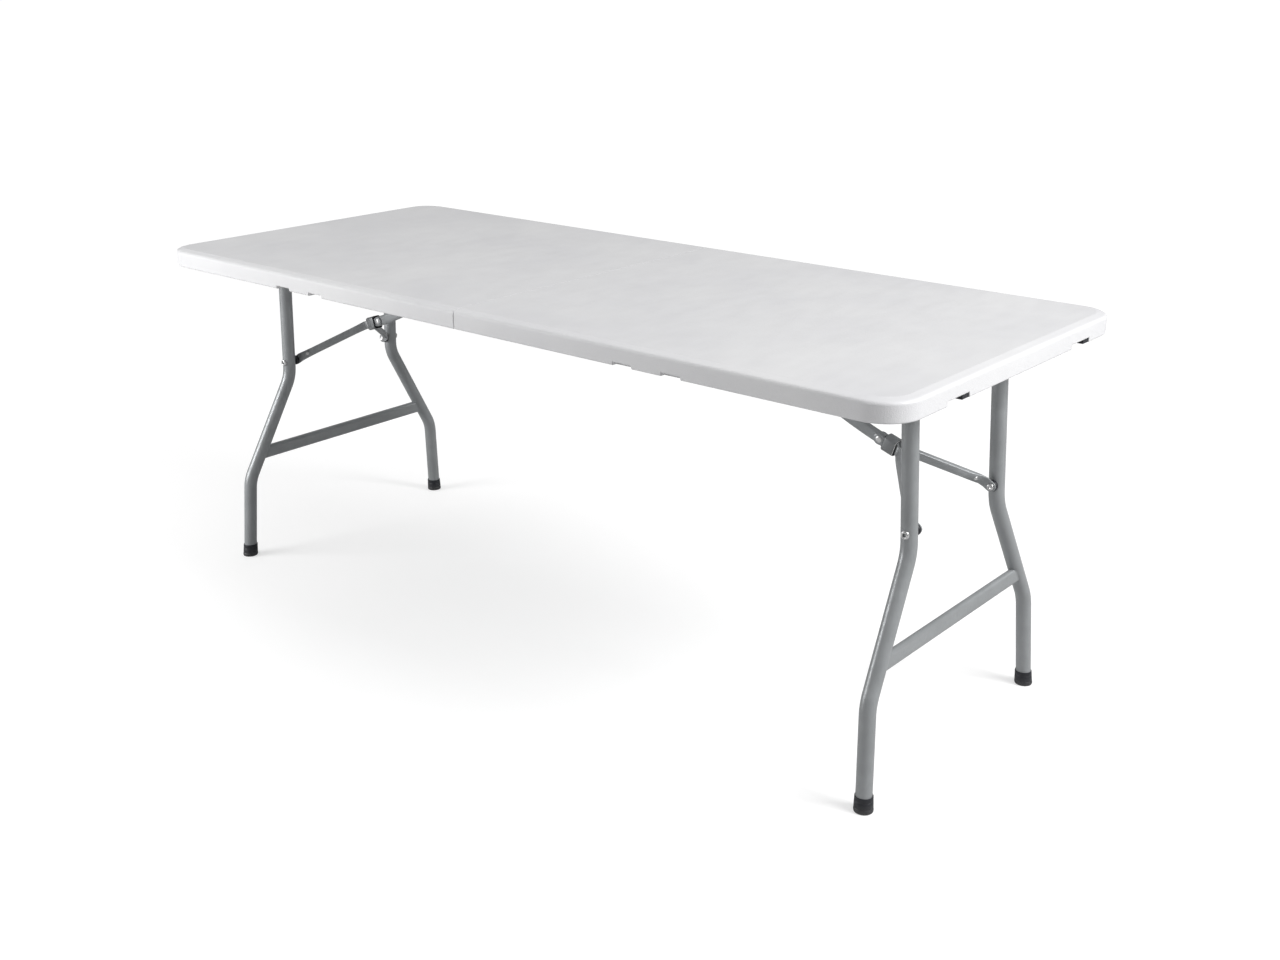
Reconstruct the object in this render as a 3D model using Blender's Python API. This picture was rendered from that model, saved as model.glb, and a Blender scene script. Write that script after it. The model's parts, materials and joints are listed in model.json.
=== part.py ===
"""Folding table: two moulded top panels that fold in half on hinges under the seam,
and a swinging leg frame at each end, held open by a folding brace with a lock sleeve.

Metres, +Z up, X along the table, the origin on the floor under the table's middle.
"near" is the long side at -Y, "far" the one at +Y.
"""
import math

import bmesh
import bpy
from mathutils import Matrix, Vector

# ---- driving dimensions -------------------------------------------------------------
LENGTH = 1.830
WIDTH = 0.760
HEIGHT = 0.735
CORNER_RADIUS = 0.065
PANEL_DEPTH = 0.037          # from the top face to the foot of the rim
SLAB = 0.0085                # moulded thickness between the top face and the recess
RIM_WIDTH = 0.022            # width of the rim's foot
RIM_DRAFT = 0.004            # how far the rim's inner wall leans in at its top
SEAM_RIM = 0.034             # the rim's width along the seam
SEAM_GAP = 0.0012            # between the two panels
BORDER = 0.019               # sloped band around the top face
BORDER_DROP = 0.0030
CLEARANCE = 0.0003

NOTCH_DEPTH = 0.0055         # shallow notches in the foot of the rim
HANDLE_CENTRE_X = 0.4495     # middle of the pair of notches in each long side
HANDLE_NOTCH_OFFSET = 0.0510
HANDLE_NOTCH_WIDTH = 0.0420
LATCH_NOTCH_DEPTH = 0.0080   # deeper ones in the short ends, where the latches slide
LATCH_NOTCH_WIDTH = 0.068
LATCH_NOTCH_Y = {"near": -0.203, "far": 0.2255}
LATCH_WIDTH = 0.0205
LATCH_TRAVEL = 0.044

LEG_RADIUS = 0.01425
LEG_WALL = 0.0013
LEG_TOP_X = 0.8034           # the leg frame leans outwards from here...
LEG_FLOOR_X = 0.8435         # ...to here
LEG_TOP_Y = 0.152
LEG_SPREAD_Y = 0.277         # after the lower bend
LEG_FLOOR_Y = 0.290
UPPER_BEND_Z = 0.411
LOWER_BEND_Z = 0.187
BEND_RADIUS = 0.085
PIVOT_Z = 0.711              # axis that a leg frame turns on, and that of the brace
PIVOT_RADIUS = 0.011
PIVOT_HALF_LENGTH = 0.336
CROSSBAR_Z = 0.244
CROSSBAR_TALL = 0.030
CROSSBAR_THICK = 0.0155
FOOT_HEIGHT = 0.029
FOOT_RADIUS = 0.0170
FOOT_TOP_RADIUS = 0.01595
FOOT_SOLE = 0.004

BOLT_Z = 0.446               # pivot of the brace arms in the legs
BOLT_RADIUS = 0.0040
BRACE_JOINT = Vector((0.6675, 0.0, 0.537))    # pivot between the arms and the strut
STRUT_SLOPE = 0.36           # fall of the strut at that joint, per metre along X
STRUT_TALL = 0.022
STRUT_THICK = 0.011
STRUT_OVERLAP = 0.034        # how far the strut runs on past the joint, inside the arms
STRUT_BEYOND_ROOT = 0.0085
ARM_THICK = 0.003            # of the flat cheek at one end and the flat tab at the other
ARM_HALF_TALL = 0.0100
ARM_TAB_Y = 0.1282
SLEEVE_LENGTH = 0.026
SLEEVE_START = 0.010         # from the joint, towards the leg
SLEEVE_WALL = 0.0015
SLEEVE_HALF_WIDTH = 0.0124
SLEEVE_HALF_TALL = 0.0148
SLEEVE_CORNER = 0.006
EAR_GAP = 0.0007             # between the strut's root and each ear of its bracket
EAR_THICK = 0.002

RAIL_Y = 0.3525              # outer face of the side rail's web
RAIL_FLANGE = 0.014
RAIL_WALL = 0.0015
RAIL_START = 0.040
RAIL_RISE = 0.0065           # the rail's lower flange over the foot of the rim
RAIL_END = 0.845
HINGE_AXIS_Z = 0.6935        # the two panels fold about this line
KNUCKLE_RADIUS = 0.0042
HINGE_PIN_RADIUS = 0.0022
HINGE_Y = 0.3275
HINGE_HALF_WIDTH = 0.0225

RIM_Z = HEIGHT - PANEL_DEPTH
CEILING_Z = HEIGHT - SLAB
LEAN = (LEG_FLOOR_X - LEG_TOP_X) / PIVOT_Z
X_AXIS = Vector((1, 0, 0))
Y_AXIS = Vector((0, 1, 0))
Z_AXIS = Vector((0, 0, 1))

ENDS = {"right": 1, "left": -1}
SIDES = {"near": -1, "far": 1}


# ---- materials and small tools ------------------------------------------------------
def make_material(name, color, roughness, metallic=0.0):
    material = bpy.data.materials.new(name)
    material.use_nodes = True
    shader = material.node_tree.nodes["Principled BSDF"]
    shader.inputs["Base Color"].default_value = (*color, 1.0)
    shader.inputs["Roughness"].default_value = roughness
    shader.inputs["Metallic"].default_value = metallic
    return material


def add_piece(name, bm, finish):
    """Close the books on one piece: merge, face outwards, shade, link. finish is (color, rough, metal)."""
    bmesh.ops.remove_doubles(bm, verts=bm.verts, dist=1e-6)
    bmesh.ops.recalc_face_normals(bm, faces=bm.faces)
    mesh = bpy.data.meshes.new(name)
    bm.to_mesh(mesh)
    bm.free()
    mesh.shade_smooth()
    mesh.set_sharp_from_angle(angle=math.radians(35))
    piece = bpy.data.objects.new(name, mesh)
    mesh.materials.append(make_material(name, *finish))
    bpy.context.scene.collection.objects.link(piece)
    return piece


def add_cutter(name, bm):
    cutter = add_piece(name, bm, ((1, 0, 0), 0.5, 0.0))
    cutter.hide_render = True
    cutter.display_type = "WIRE"
    return cutter


def cut(piece, cutter):
    modifier = piece.modifiers.new("cut_" + cutter.name, "BOOLEAN")
    modifier.operation = "DIFFERENCE"
    modifier.solver = "EXACT"
    modifier.object = cutter


def unite(piece, other):
    modifier = piece.modifiers.new("join_" + other.name, "BOOLEAN")
    modifier.operation = "UNION"
    modifier.solver = "EXACT"
    modifier.object = other


def loft(rings, cap=True):
    """A closed skin over rings that all have the same number of points."""
    bm = bmesh.new()
    loops = [[bm.verts.new(point) for point in ring] for ring in rings]
    count = len(rings[0])
    for lower, upper in zip(loops, loops[1:]):
        for i in range(count):
            j = (i + 1) % count
            bm.faces.new((lower[i], lower[j], upper[j], upper[i]))
    if cap:
        bm.faces.new(loops[0])
        bm.faces.new(loops[-1])
    return bm


def closed_loft(rings):
    """A skin over rings whose last one joins the first: a tube with its bore."""
    return loft(rings + [rings[0]], cap=False)


def box(low, high):
    bm = bmesh.new()
    centre = (Vector(low) + Vector(high)) / 2
    size = Vector(high) - Vector(low)
    matrix = Matrix.Translation(centre) @ Matrix.Diagonal((*size, 1.0))
    bmesh.ops.create_cube(bm, size=1.0, matrix=matrix)
    return bm


def rod(start, end, radius, sides=20):
    """A solid round bar between two points."""
    start, end = Vector(start), Vector(end)
    bm = bmesh.new()
    turn = (end - start).to_track_quat("Z", "Y").to_matrix().to_4x4()
    bmesh.ops.create_cone(bm, cap_ends=True, segments=sides, radius1=radius, radius2=radius,
                          depth=(end - start).length, matrix=Matrix.Translation((start + end) / 2) @ turn)
    return bm


def turned(profile, origin, axis, sides=14):
    """Spin a profile of (radius, distance along the axis), which starts and ends on the axis."""
    axis = Vector(axis).normalized()
    across = axis.orthogonal().normalized()
    bm = bmesh.new()
    verts = [bm.verts.new(Vector(origin) + axis * along + across * radius) for radius, along in profile]
    edges = [bm.edges.new(pair) for pair in zip(verts, verts[1:])]
    bmesh.ops.spin(bm, geom=verts + edges, cent=Vector(origin), axis=axis, angle=2 * math.pi,
                   steps=sides, use_merge=True)
    return bm


def arc_points(centre, start, end, radius, steps):
    """Points on a circle arc in a plane, angles in degrees."""
    angles = [math.radians(start + (end - start) * i / steps) for i in range(steps + 1)]
    return [(centre[0] + radius * math.cos(a), centre[1] + radius * math.sin(a)) for a in angles]


def rounded_path(points, radius, steps):
    """The points as a path, with each inner corner replaced by an arc of the given radius."""
    points = [Vector(p) for p in points]
    path = [points[0]]
    for before, corner, after in zip(points, points[1:], points[2:]):
        back = (before - corner).normalized()
        ahead = (after - corner).normalized()
        half_turn = (math.pi - back.angle(ahead)) / 2
        reach = radius * math.tan(half_turn)
        centre = corner + (back + ahead).normalized() * (radius / math.cos(half_turn))
        first = corner + back * reach - centre
        last = corner + ahead * reach - centre
        path += [centre + first.slerp(last, i / steps).normalized() * radius for i in range(steps + 1)]
    path.append(points[-1])
    return path


def tangents(path):
    ahead = [(b - a).normalized() for a, b in zip(path, path[1:])]
    return [ahead[0]] + [(a + b).normalized() for a, b in zip(ahead, ahead[1:])] + [ahead[-1]]


def rings_along(path, upright, section):
    """Rings across a path. section(i) gives the ring's (sideways, upright) points at station i."""
    rings = []
    for i, (point, along) in enumerate(zip(path, tangents(path))):
        sideways = along.cross(upright).normalized()
        up = sideways.cross(along).normalized()
        rings.append([point + sideways * s + up * u for s, u in section(i)])
    return rings


def circle(radius, sides=16):
    return [(radius * math.cos(2 * math.pi * i / sides), radius * math.sin(2 * math.pi * i / sides))
            for i in range(sides)]


def flat_oval(half_thick, half_tall, steps=4):
    """A stadium: straight sides with rounded top and bottom (or left and right)."""
    r = min(half_thick, half_tall)
    shift_u = half_tall - r
    shift_s = half_thick - r
    if shift_u >= shift_s:
        return (arc_points((0, shift_u), 0, 180, r, steps * 2)
                + arc_points((0, -shift_u), 180, 360, r, steps * 2))
    return (arc_points((shift_s, 0), -90, 90, r, steps * 2)
            + arc_points((-shift_s, 0), 90, 270, r, steps * 2))


def rounded_box_section(half_thick, half_tall, corner, steps=2):
    """A rectangle with rounded corners."""
    a, b = half_thick - corner, half_tall - corner
    return (arc_points((a, b), 0, 90, corner, steps) + arc_points((-a, b), 90, 180, corner, steps)
            + arc_points((-a, -b), 180, 270, corner, steps) + arc_points((a, -b), 270, 360, corner, steps))


def tube(path, upright, radius, wall, sides=16):
    """A bent tube, open at both ends."""
    outer = rings_along(path, upright, lambda i: circle(radius, sides))
    inner = rings_along(path, upright, lambda i: circle(radius - wall, sides))
    return closed_loft(outer + inner[::-1])


PLASTIC_WHITE = ((0.80, 0.80, 0.80), 0.45)
PLASTIC_GREY = ((0.55, 0.55, 0.56), 0.50)
PLASTIC_BLACK = ((0.015, 0.016, 0.020), 0.45)
PAINT_GREY = ((0.23, 0.235, 0.24), 0.40, 0.3)
ZINC = ((0.62, 0.62, 0.62), 0.30, 1.0)


# ---- top panels ---------------------------------------------------------------------
def panel_outline(inset, seam_x, z, end, steps=6):
    """One panel's outline, moved in by inset on its three free sides. Two rounded outer corners."""
    radius = max(CORNER_RADIUS - inset, 0.02)
    x = LENGTH / 2 - inset - radius
    y = WIDTH / 2 - inset - radius
    corners = arc_points((x, -y), -90, 0, radius, steps) + arc_points((x, y), 0, 90, radius, steps)
    outline = [(seam_x, -(y + radius))] + corners + [(seam_x, y + radius)]
    return [Vector((end * px, py, z)) for px, py in outline]


def build_panel(end_name):
    end = ENDS[end_name]
    seam = SEAM_GAP / 2
    shell = [
        (BORDER, seam, HEIGHT),
        (0.0070, seam, HEIGHT - BORDER_DROP * 0.75),
        (0.0026, seam, HEIGHT - BORDER_DROP * 1.6),
        (0.0, seam, HEIGHT - 0.0100),
        (0.0, seam, RIM_Z + 0.0035),
        (0.0012, seam, RIM_Z + 0.0010),
        (0.0040, seam, RIM_Z),
        (RIM_WIDTH, SEAM_RIM, RIM_Z),
        (RIM_WIDTH + RIM_DRAFT, SEAM_RIM + 0.002, CEILING_Z),
    ]
    rings = [panel_outline(inset, seam_x, z, end) for inset, seam_x, z in shell]
    panel = add_piece("panel_" + end_name, loft(rings), PLASTIC_WHITE)
    for side in SIDES.values():
        for step in (-1, 1):
            middle = end * (HANDLE_CENTRE_X + step * HANDLE_NOTCH_OFFSET)
            low = (middle - HANDLE_NOTCH_WIDTH / 2, min(side * 0.350, side * 0.390), RIM_Z - 0.01)
            high = (middle + HANDLE_NOTCH_WIDTH / 2, max(side * 0.350, side * 0.390), RIM_Z + NOTCH_DEPTH)
            cut(panel, add_cutter(f"rim_notch_{end_name}_{side}_{step}", box(low, high)))
    for side_name, y in LATCH_NOTCH_Y.items():
        low = (min(end * 0.870, end * 0.930), end * y - LATCH_NOTCH_WIDTH / 2, RIM_Z - 0.01)
        high = (max(end * 0.870, end * 0.930), end * y + LATCH_NOTCH_WIDTH / 2, RIM_Z + LATCH_NOTCH_DEPTH)
        cut(panel, add_cutter(f"latch_notch_{end_name}_{side_name}", box(low, high)))
    return panel


def build_rail(end_name, side_name):
    """A steel channel, open towards the table's middle line, screwed under the panel."""
    end, side = ENDS[end_name], SIDES[side_name]
    bottom, top = RIM_Z + RAIL_RISE, CEILING_Z - CLEARANCE
    outer, inner = RAIL_Y, RAIL_Y - RAIL_FLANGE
    w = RAIL_WALL
    profile = [(outer, bottom), (outer, top), (inner, top), (inner, top - w),
               (outer - w, top - w), (outer - w, bottom + w), (inner, bottom + w), (inner, bottom)]
    rings = [[Vector((end * x, side * y, z)) for y, z in profile] for x in (RAIL_START, RAIL_END)]
    return add_piece(f"rail_{end_name}_{side_name}", loft(rings), PAINT_GREY)


# ---- hinges under the seam ----------------------------------------------------------
def hinge_leaf(end_name, side_name):
    """A leaf under the rim of the seam. The right one has the two outer knuckles, the left one the middle."""
    end, side = ENDS[end_name], SIDES[side_name]
    third = 2 * HINGE_HALF_WIDTH / 3
    start = side * HINGE_Y - HINGE_HALF_WIDTH
    spans = {"right": [0, 2], "left": [1]}[end_name]
    top = RIM_Z - CLEARANCE
    thick = 0.0018
    leaf_ends = sorted((end * 0.0052, end * (SEAM_RIM - 0.001)))
    plate = box((leaf_ends[0], start, top - thick), (leaf_ends[1], start + 3 * third, top))
    leaf = add_piece(f"hinge_leaf_{end_name}_{side_name}", plate, ZINC)
    for k in spans:
        low, high = start + k * third + CLEARANCE, start + (k + 1) * third - CLEARANCE
        knuckle = add_cutter(f"knuckle_{end_name}_{side_name}_{k}",
                             rod((0, low, HINGE_AXIS_Z), (0, high, HINGE_AXIS_Z), KNUCKLE_RADIUS))
        web_ends = sorted((0, end * 0.0090))
        web = add_cutter(f"web_{end_name}_{side_name}_{k}",
                         box((web_ends[0], low, top - thick), (web_ends[1], high, top - 0.0001)))
        unite(leaf, web)
        unite(leaf, knuckle)
    bore = add_cutter(f"hinge_bore_{end_name}_{side_name}",
                      rod((0, start - 0.01, HINGE_AXIS_Z), (0, start + 0.06, HINGE_AXIS_Z),
                          HINGE_PIN_RADIUS + CLEARANCE))
    cut(leaf, bore)
    return leaf


def hinge_pin(side_name):
    """A round pin with a head at each end."""
    start = SIDES[side_name] * HINGE_Y - HINGE_HALF_WIDTH - 0.0005
    length = 2 * HINGE_HALF_WIDTH + 0.0010
    head, head_length = 0.0036, 0.0016
    profile = [(0, -head_length), (head * 0.8, -head_length), (head, -head_length * 0.5), (head, 0),
               (HINGE_PIN_RADIUS, 0), (HINGE_PIN_RADIUS, length), (head, length),
               (head, length + head_length * 0.5), (head * 0.8, length + head_length),
               (0, length + head_length)]
    return add_piece(f"hinge_pin_{side_name}", turned(profile, (0, start, HINGE_AXIS_Z), Y_AXIS), ZINC)


# ---- leg frames ---------------------------------------------------------------------
def lean_x(z):
    """How far out the leg frame's plane is at a height."""
    return LEG_TOP_X + (PIVOT_Z - z) * LEAN


def leg_point(end, side, y, z):
    return Vector((end * lean_x(z), side * y, z))


def frame_normal(end):
    return Vector((end, 0, LEAN)).normalized()


def build_leg(end_name, side_name):
    end, side = ENDS[end_name], SIDES[side_name]
    corners = [leg_point(end, side, LEG_TOP_Y, PIVOT_Z), leg_point(end, side, LEG_TOP_Y, UPPER_BEND_Z),
               leg_point(end, side, LEG_SPREAD_Y, LOWER_BEND_Z),
               leg_point(end, side, LEG_FLOOR_Y, FOOT_SOLE + 0.0022)]
    path = rounded_path(corners, BEND_RADIUS, 4)
    leg = add_piece(f"leg_{end_name}_{side_name}",
                    tube(path, frame_normal(end), LEG_RADIUS, LEG_WALL, 14), PAINT_GREY)
    pivot = end * LEG_TOP_X
    saddle = rod((pivot, side * (LEG_TOP_Y - 0.03), PIVOT_Z), (pivot, side * (LEG_TOP_Y + 0.03), PIVOT_Z),
                 PIVOT_RADIUS + CLEARANCE, 24)
    cut(leg, add_cutter(f"saddle_{end_name}_{side_name}", saddle))
    hole_x = end * lean_x(BOLT_Z)
    hole = rod((hole_x, side * (LEG_TOP_Y - 0.03), BOLT_Z), (hole_x, side * (LEG_TOP_Y + 0.03), BOLT_Z),
               BOLT_RADIUS + CLEARANCE)
    cut(leg, add_cutter(f"bolt_hole_{end_name}_{side_name}", hole))
    return leg


def build_foot(end_name, side_name):
    """A cap pushed on the leg's end, flared to a flat sole."""
    end, side = ENDS[end_name], SIDES[side_name]
    bore = LEG_RADIUS + CLEARANCE + 0.0001
    slope = (LEG_SPREAD_Y - LEG_FLOOR_Y) / (LOWER_BEND_Z - FOOT_SOLE)

    def ring(radius, z):
        centre = leg_point(end, side, LEG_FLOOR_Y + slope * (z - FOOT_SOLE), z)
        return [centre + Vector((a, b, 0)) for a, b in circle(radius, 18)]

    rings = [ring(FOOT_RADIUS - 0.0015, 0), ring(FOOT_RADIUS, 0.0015), ring(FOOT_TOP_RADIUS, FOOT_HEIGHT),
             ring(bore, FOOT_HEIGHT), ring(bore, FOOT_SOLE)]
    return add_piece(f"foot_{end_name}_{side_name}", loft(rings), PLASTIC_BLACK)


def build_pivot_tube(end_name):
    x = ENDS[end_name] * LEG_TOP_X
    path = [Vector((x, -PIVOT_HALF_LENGTH, PIVOT_Z)), Vector((x, PIVOT_HALF_LENGTH, PIVOT_Z))]
    return add_piece("pivot_tube_" + end_name, tube(path, Z_AXIS, PIVOT_RADIUS, 0.0015, 16), PAINT_GREY)


def build_pivot_block(end_name, side_name):
    """A moulded block under the panel, in which the leg frame's top tube turns."""
    end, side = ENDS[end_name], SIDES[side_name]
    x = end * LEG_TOP_X
    ys = sorted((side * 0.304, side * 0.332))
    body = box((x - 0.021, ys[0], PIVOT_Z - 0.0145), (x + 0.021, ys[1], CEILING_Z - CLEARANCE))
    edges = [e for e in body.edges if abs((e.verts[0].co - e.verts[1].co).y) > 0.01
             and e.verts[0].co.z < PIVOT_Z]
    bmesh.ops.bevel(body, geom=edges, offset=0.009, segments=3, affect="EDGES", profile=0.5)
    block = add_piece(f"pivot_block_{end_name}_{side_name}", body, PLASTIC_BLACK)
    bore = rod((x, ys[0] - 0.01, PIVOT_Z), (x, ys[1] + 0.01, PIVOT_Z), PIVOT_RADIUS + CLEARANCE, 24)
    cut(block, add_cutter(f"pivot_bore_{end_name}_{side_name}", bore))
    return block


def leg_cutter(name, end, side):
    """The slanted stretch of a leg, slightly fat, to cope the crossbar's ends."""
    upper = leg_point(end, side, LEG_TOP_Y, UPPER_BEND_Z)
    lower = leg_point(end, side, LEG_SPREAD_Y, LOWER_BEND_Z)
    return add_cutter(name, rod(upper, lower, LEG_RADIUS + CLEARANCE, 32))


def build_crossbar(end_name):
    end = ENDS[end_name]
    share = (UPPER_BEND_Z - CROSSBAR_Z) / (UPPER_BEND_Z - LOWER_BEND_Z)
    reach = LEG_TOP_Y + share * (LEG_SPREAD_Y - LEG_TOP_Y)
    path = [leg_point(end, -1, reach, CROSSBAR_Z), leg_point(end, 1, reach, CROSSBAR_Z)]
    upright = Vector((-end * LEAN, 0, 1)).normalized()
    section = flat_oval(CROSSBAR_THICK / 2, CROSSBAR_TALL / 2)
    bar = add_piece("crossbar_" + end_name, loft(rings_along(path, upright, lambda i: section)), PAINT_GREY)
    for side_name, side in SIDES.items():
        cut(bar, leg_cutter(f"cope_{end_name}_{side_name}", end, side))
    return bar


# ---- folding brace ------------------------------------------------------------------
def bolt_centre(end):
    return Vector((end * lean_x(BOLT_Z), 0, BOLT_Z))


def brace_root_x():
    """Where the strut's top pivot sits, so that the brace folds flat under the panel.

    Folded, the bolt line lies level with the leg pivot, and strut and arms lie back to back:
    the strut's length less the arms' length is then the distance from the root to the bolt.
    """
    bolt = bolt_centre(1)
    swing = math.hypot(bolt.x - LEG_TOP_X, PIVOT_Z - bolt.z)
    arm_length = (bolt - BRACE_JOINT).length
    reach = LEG_TOP_X - swing + arm_length
    drop = PIVOT_Z - BRACE_JOINT.z
    return (reach ** 2 - BRACE_JOINT.x ** 2 - drop ** 2) / (2 * (reach - BRACE_JOINT.x))


ROOT_X = brace_root_x()
STRUT_ROOT = Vector((ROOT_X, 0, PIVOT_Z))
STRUT_DIRECTION = Vector((1, 0, -STRUT_SLOPE)).normalized()
STRUT_NORMAL = STRUT_DIRECTION.cross(Y_AXIS)
STRUT_CHORD = STRUT_ROOT - BRACE_JOINT
STRUT_RADIUS = STRUT_CHORD.length_squared / (2 * STRUT_CHORD.dot(STRUT_NORMAL))
STRUT_CENTRE = BRACE_JOINT + STRUT_NORMAL * STRUT_RADIUS
STRUT_LENGTH = 2 * STRUT_RADIUS * math.asin(STRUT_CHORD.length / (2 * STRUT_RADIUS))


def mirrored(point, end):
    return Vector((end * point[0], point[1], point[2]))


def strut_line(distance):
    """A point on the strut's arc, measured along it from the joint towards the leg."""
    angle = distance / STRUT_RADIUS
    return STRUT_CENTRE + (STRUT_DIRECTION * math.sin(angle) - STRUT_NORMAL * math.cos(angle)) * STRUT_RADIUS


def build_strut(end_name):
    """A flat-oval bar, bent to one long arc so that the lock sleeve can slide along all of it."""
    end = ENDS[end_name]
    first, taper, steps = -STRUT_LENGTH - STRUT_BEYOND_ROOT, 0.0050, 14
    start, stop = first + taper, STRUT_OVERLAP - taper
    stations = [first] + [start + (stop - start) * i / steps for i in range(steps + 1)] + [STRUT_OVERLAP]
    path = [mirrored(strut_line(distance), end) for distance in stations]
    last = len(path) - 1

    def section(i):
        half_tall = STRUT_TALL / 2 * (0.62 if i in (0, last) else 1.0)
        return rounded_box_section(STRUT_THICK / 2, half_tall, 0.0035)

    strut = add_piece("strut_" + end_name, loft(rings_along(path, Z_AXIS, section)), PAINT_GREY)
    for label, centre in (("joint", BRACE_JOINT), ("root", STRUT_ROOT)):
        centre = mirrored(centre, end)
        hole = rod(centre - Y_AXIS * 0.02, centre + Y_AXIS * 0.02, BOLT_RADIUS + CLEARANCE)
        cut(strut, add_cutter(f"strut_hole_{label}_{end_name}", hole))
    return strut


def build_joint_pin(end_name):
    """The rivet through the strut and both cheeks, low enough for the lock sleeve to pass over."""
    half = STRUT_THICK / 2 + CLEARANCE + ARM_THICK + 0.0001
    head, rise = 0.0062, 0.0013
    assert half + rise < SLEEVE_HALF_WIDTH - SLEEVE_WALL
    profile = [(0, -half - rise), (head * 0.6, -half - rise * 0.85), (head * 0.92, -half - rise * 0.45),
               (head, -half), (BOLT_RADIUS, -half), (BOLT_RADIUS, half), (head, half),
               (head * 0.92, half + rise * 0.45), (head * 0.6, half + rise * 0.85), (0, half + rise)]
    origin = mirrored(BRACE_JOINT, ENDS[end_name])
    return add_piece("joint_pin_" + end_name, turned(profile, origin, Y_AXIS), ZINC)


def build_arm(end_name, side_name):
    """A flat cheek beside the strut, an oval tube spreading to the leg, and a flat tab on the bolt.

    The cheek and the tab are given as (distance along, share of the full height), and the tube as
    (share of the way, half thickness, half height).
    """
    end, side = ENDS[end_name], SIDES[side_name]
    cheek = ((-0.0115, 0.35), (-0.0096, 0.66), (-0.0060, 0.92), (0.0, 1.0), (0.008, 0.9), (0.036, 0.9))
    round_tube = ((0.05, 0.0030, 0.0096), (0.12, 0.0056, 0.0086), (0.26, 0.0062, 0.0082),
                  (0.74, 0.0062, 0.0082), (0.88, 0.0052, 0.0086), (0.96, 0.0026, 0.0094))
    tab = ((-0.0135, 1.0), (0.0, 1.0), (0.0055, 0.84), (0.0085, 0.50), (0.0096, 0.22))
    cheek_y = STRUT_THICK / 2 + CLEARANCE + ARM_THICK / 2
    bolt = bolt_centre(1)
    along = (bolt - BRACE_JOINT).normalized()
    start, stop = strut_line(0.041), bolt - along * 0.017
    flat = ARM_THICK / 2
    stations = []

    def add(point, y, half_thick, half_tall):
        stations.append((mirrored(point, end), side * y, half_thick, half_tall))

    for distance, share in cheek:
        add(strut_line(distance), cheek_y, flat, ARM_HALF_TALL * share)
    for share, half_thick, half_tall in round_tube:
        add(start.lerp(stop, share), cheek_y + (ARM_TAB_Y - cheek_y) * share, half_thick, half_tall)
    for distance, share in tab:
        add(bolt + along * distance, ARM_TAB_Y, flat, ARM_HALF_TALL * share)

    rings = rings_along([station[0] for station in stations], Z_AXIS,
                        lambda i: flat_oval_by_count(stations[i][2], stations[i][3]))
    rings = [[point + Y_AXIS * station[1] for point in ring] for ring, station in zip(rings, stations)]
    arm = add_piece(f"arm_{end_name}_{side_name}", loft(rings), PAINT_GREY)
    for label, centre in (("joint", BRACE_JOINT), ("leg", bolt)):
        centre = mirrored(centre, end)
        hole = rod(centre, centre + Y_AXIS * side * 0.135, BOLT_RADIUS + CLEARANCE)
        cut(arm, add_cutter(f"arm_hole_{label}_{end_name}_{side_name}", hole))
    return arm


def flat_oval_by_count(half_thick, half_tall):
    """A rounded section that keeps the same number of points at every size."""
    return rounded_box_section(half_thick, half_tall, min(half_thick, half_tall) * 0.92)


def build_bolt_head(end_name, side_name):
    """The inner head of a leg's bolt, with the stub that fills the hole in the arm's tab."""
    end, side = ENDS[end_name], SIDES[side_name]
    head, rise, gap = 0.0068, 0.0034, CLEARANCE
    profile = [(0, -rise), (head * 0.7, -rise * 0.88), (head, -rise * 0.35), (head, 0), (BOLT_RADIUS, 0),
               (BOLT_RADIUS, ARM_THICK + gap), (0, ARM_THICK + gap)]
    origin = bolt_centre(end) + Y_AXIS * side * (ARM_TAB_Y - ARM_THICK / 2 - gap)
    return add_piece(f"bolt_head_{end_name}_{side_name}", turned(profile, origin, Y_AXIS * side), ZINC)


def build_lock_sleeve(end_name):
    """A steel sleeve that slides along the strut's arc and, over the joint, keeps it from folding."""
    end = ENDS[end_name]
    path = [mirrored(strut_line(SLEEVE_START), end), mirrored(strut_line(SLEEVE_START + SLEEVE_LENGTH), end)]

    def rings(inset):
        section = rounded_box_section(SLEEVE_HALF_WIDTH - inset, SLEEVE_HALF_TALL - inset,
                                      SLEEVE_CORNER - inset, 4)
        return rings_along(path, Z_AXIS, lambda i: section)

    return add_piece("lock_sleeve_" + end_name, closed_loft(rings(0) + rings(SLEEVE_WALL)[::-1]), PAINT_GREY)


def build_bolt(end_name, side_name):
    """The bolt through a leg and its spacer. It ends where the arm's tab begins."""
    end, side = ENDS[end_name], SIDES[side_name]
    outer_face = LEG_TOP_Y + LEG_RADIUS + CLEARANCE
    start = ARM_TAB_Y + ARM_THICK / 2 + CLEARANCE
    length = outer_face - start
    head = 0.0082
    profile = [(0, 0), (BOLT_RADIUS, 0), (BOLT_RADIUS, length), (head, length), (head, length + 0.0010),
               (head * 0.75, length + 0.0024), (head * 0.45, length + 0.0030), (head * 0.38, length + 0.0018),
               (0, length + 0.0016)]
    origin = bolt_centre(end) + Y_AXIS * side * start
    return add_piece(f"bolt_{end_name}_{side_name}", turned(profile, origin, Y_AXIS * side), ZINC)


def build_spacer(end_name, side_name):
    """A nylon collar between the leg and the arm's tab."""
    end, side = ENDS[end_name], SIDES[side_name]
    low = ARM_TAB_Y + ARM_THICK / 2 + CLEARANCE
    high = LEG_TOP_Y - LEG_RADIUS - CLEARANCE
    outer, bore = 0.0105, BOLT_RADIUS + CLEARANCE
    centre = bolt_centre(end)

    def ring(radius, y):
        return [centre + Vector((a, side * y, b)) for a, b in circle(radius, 16)]

    rings = [ring(outer, low), ring(outer, high), ring(bore, high), ring(bore, low)]
    return add_piece(f"spacer_{end_name}_{side_name}", closed_loft(rings), PLASTIC_BLACK)


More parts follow.
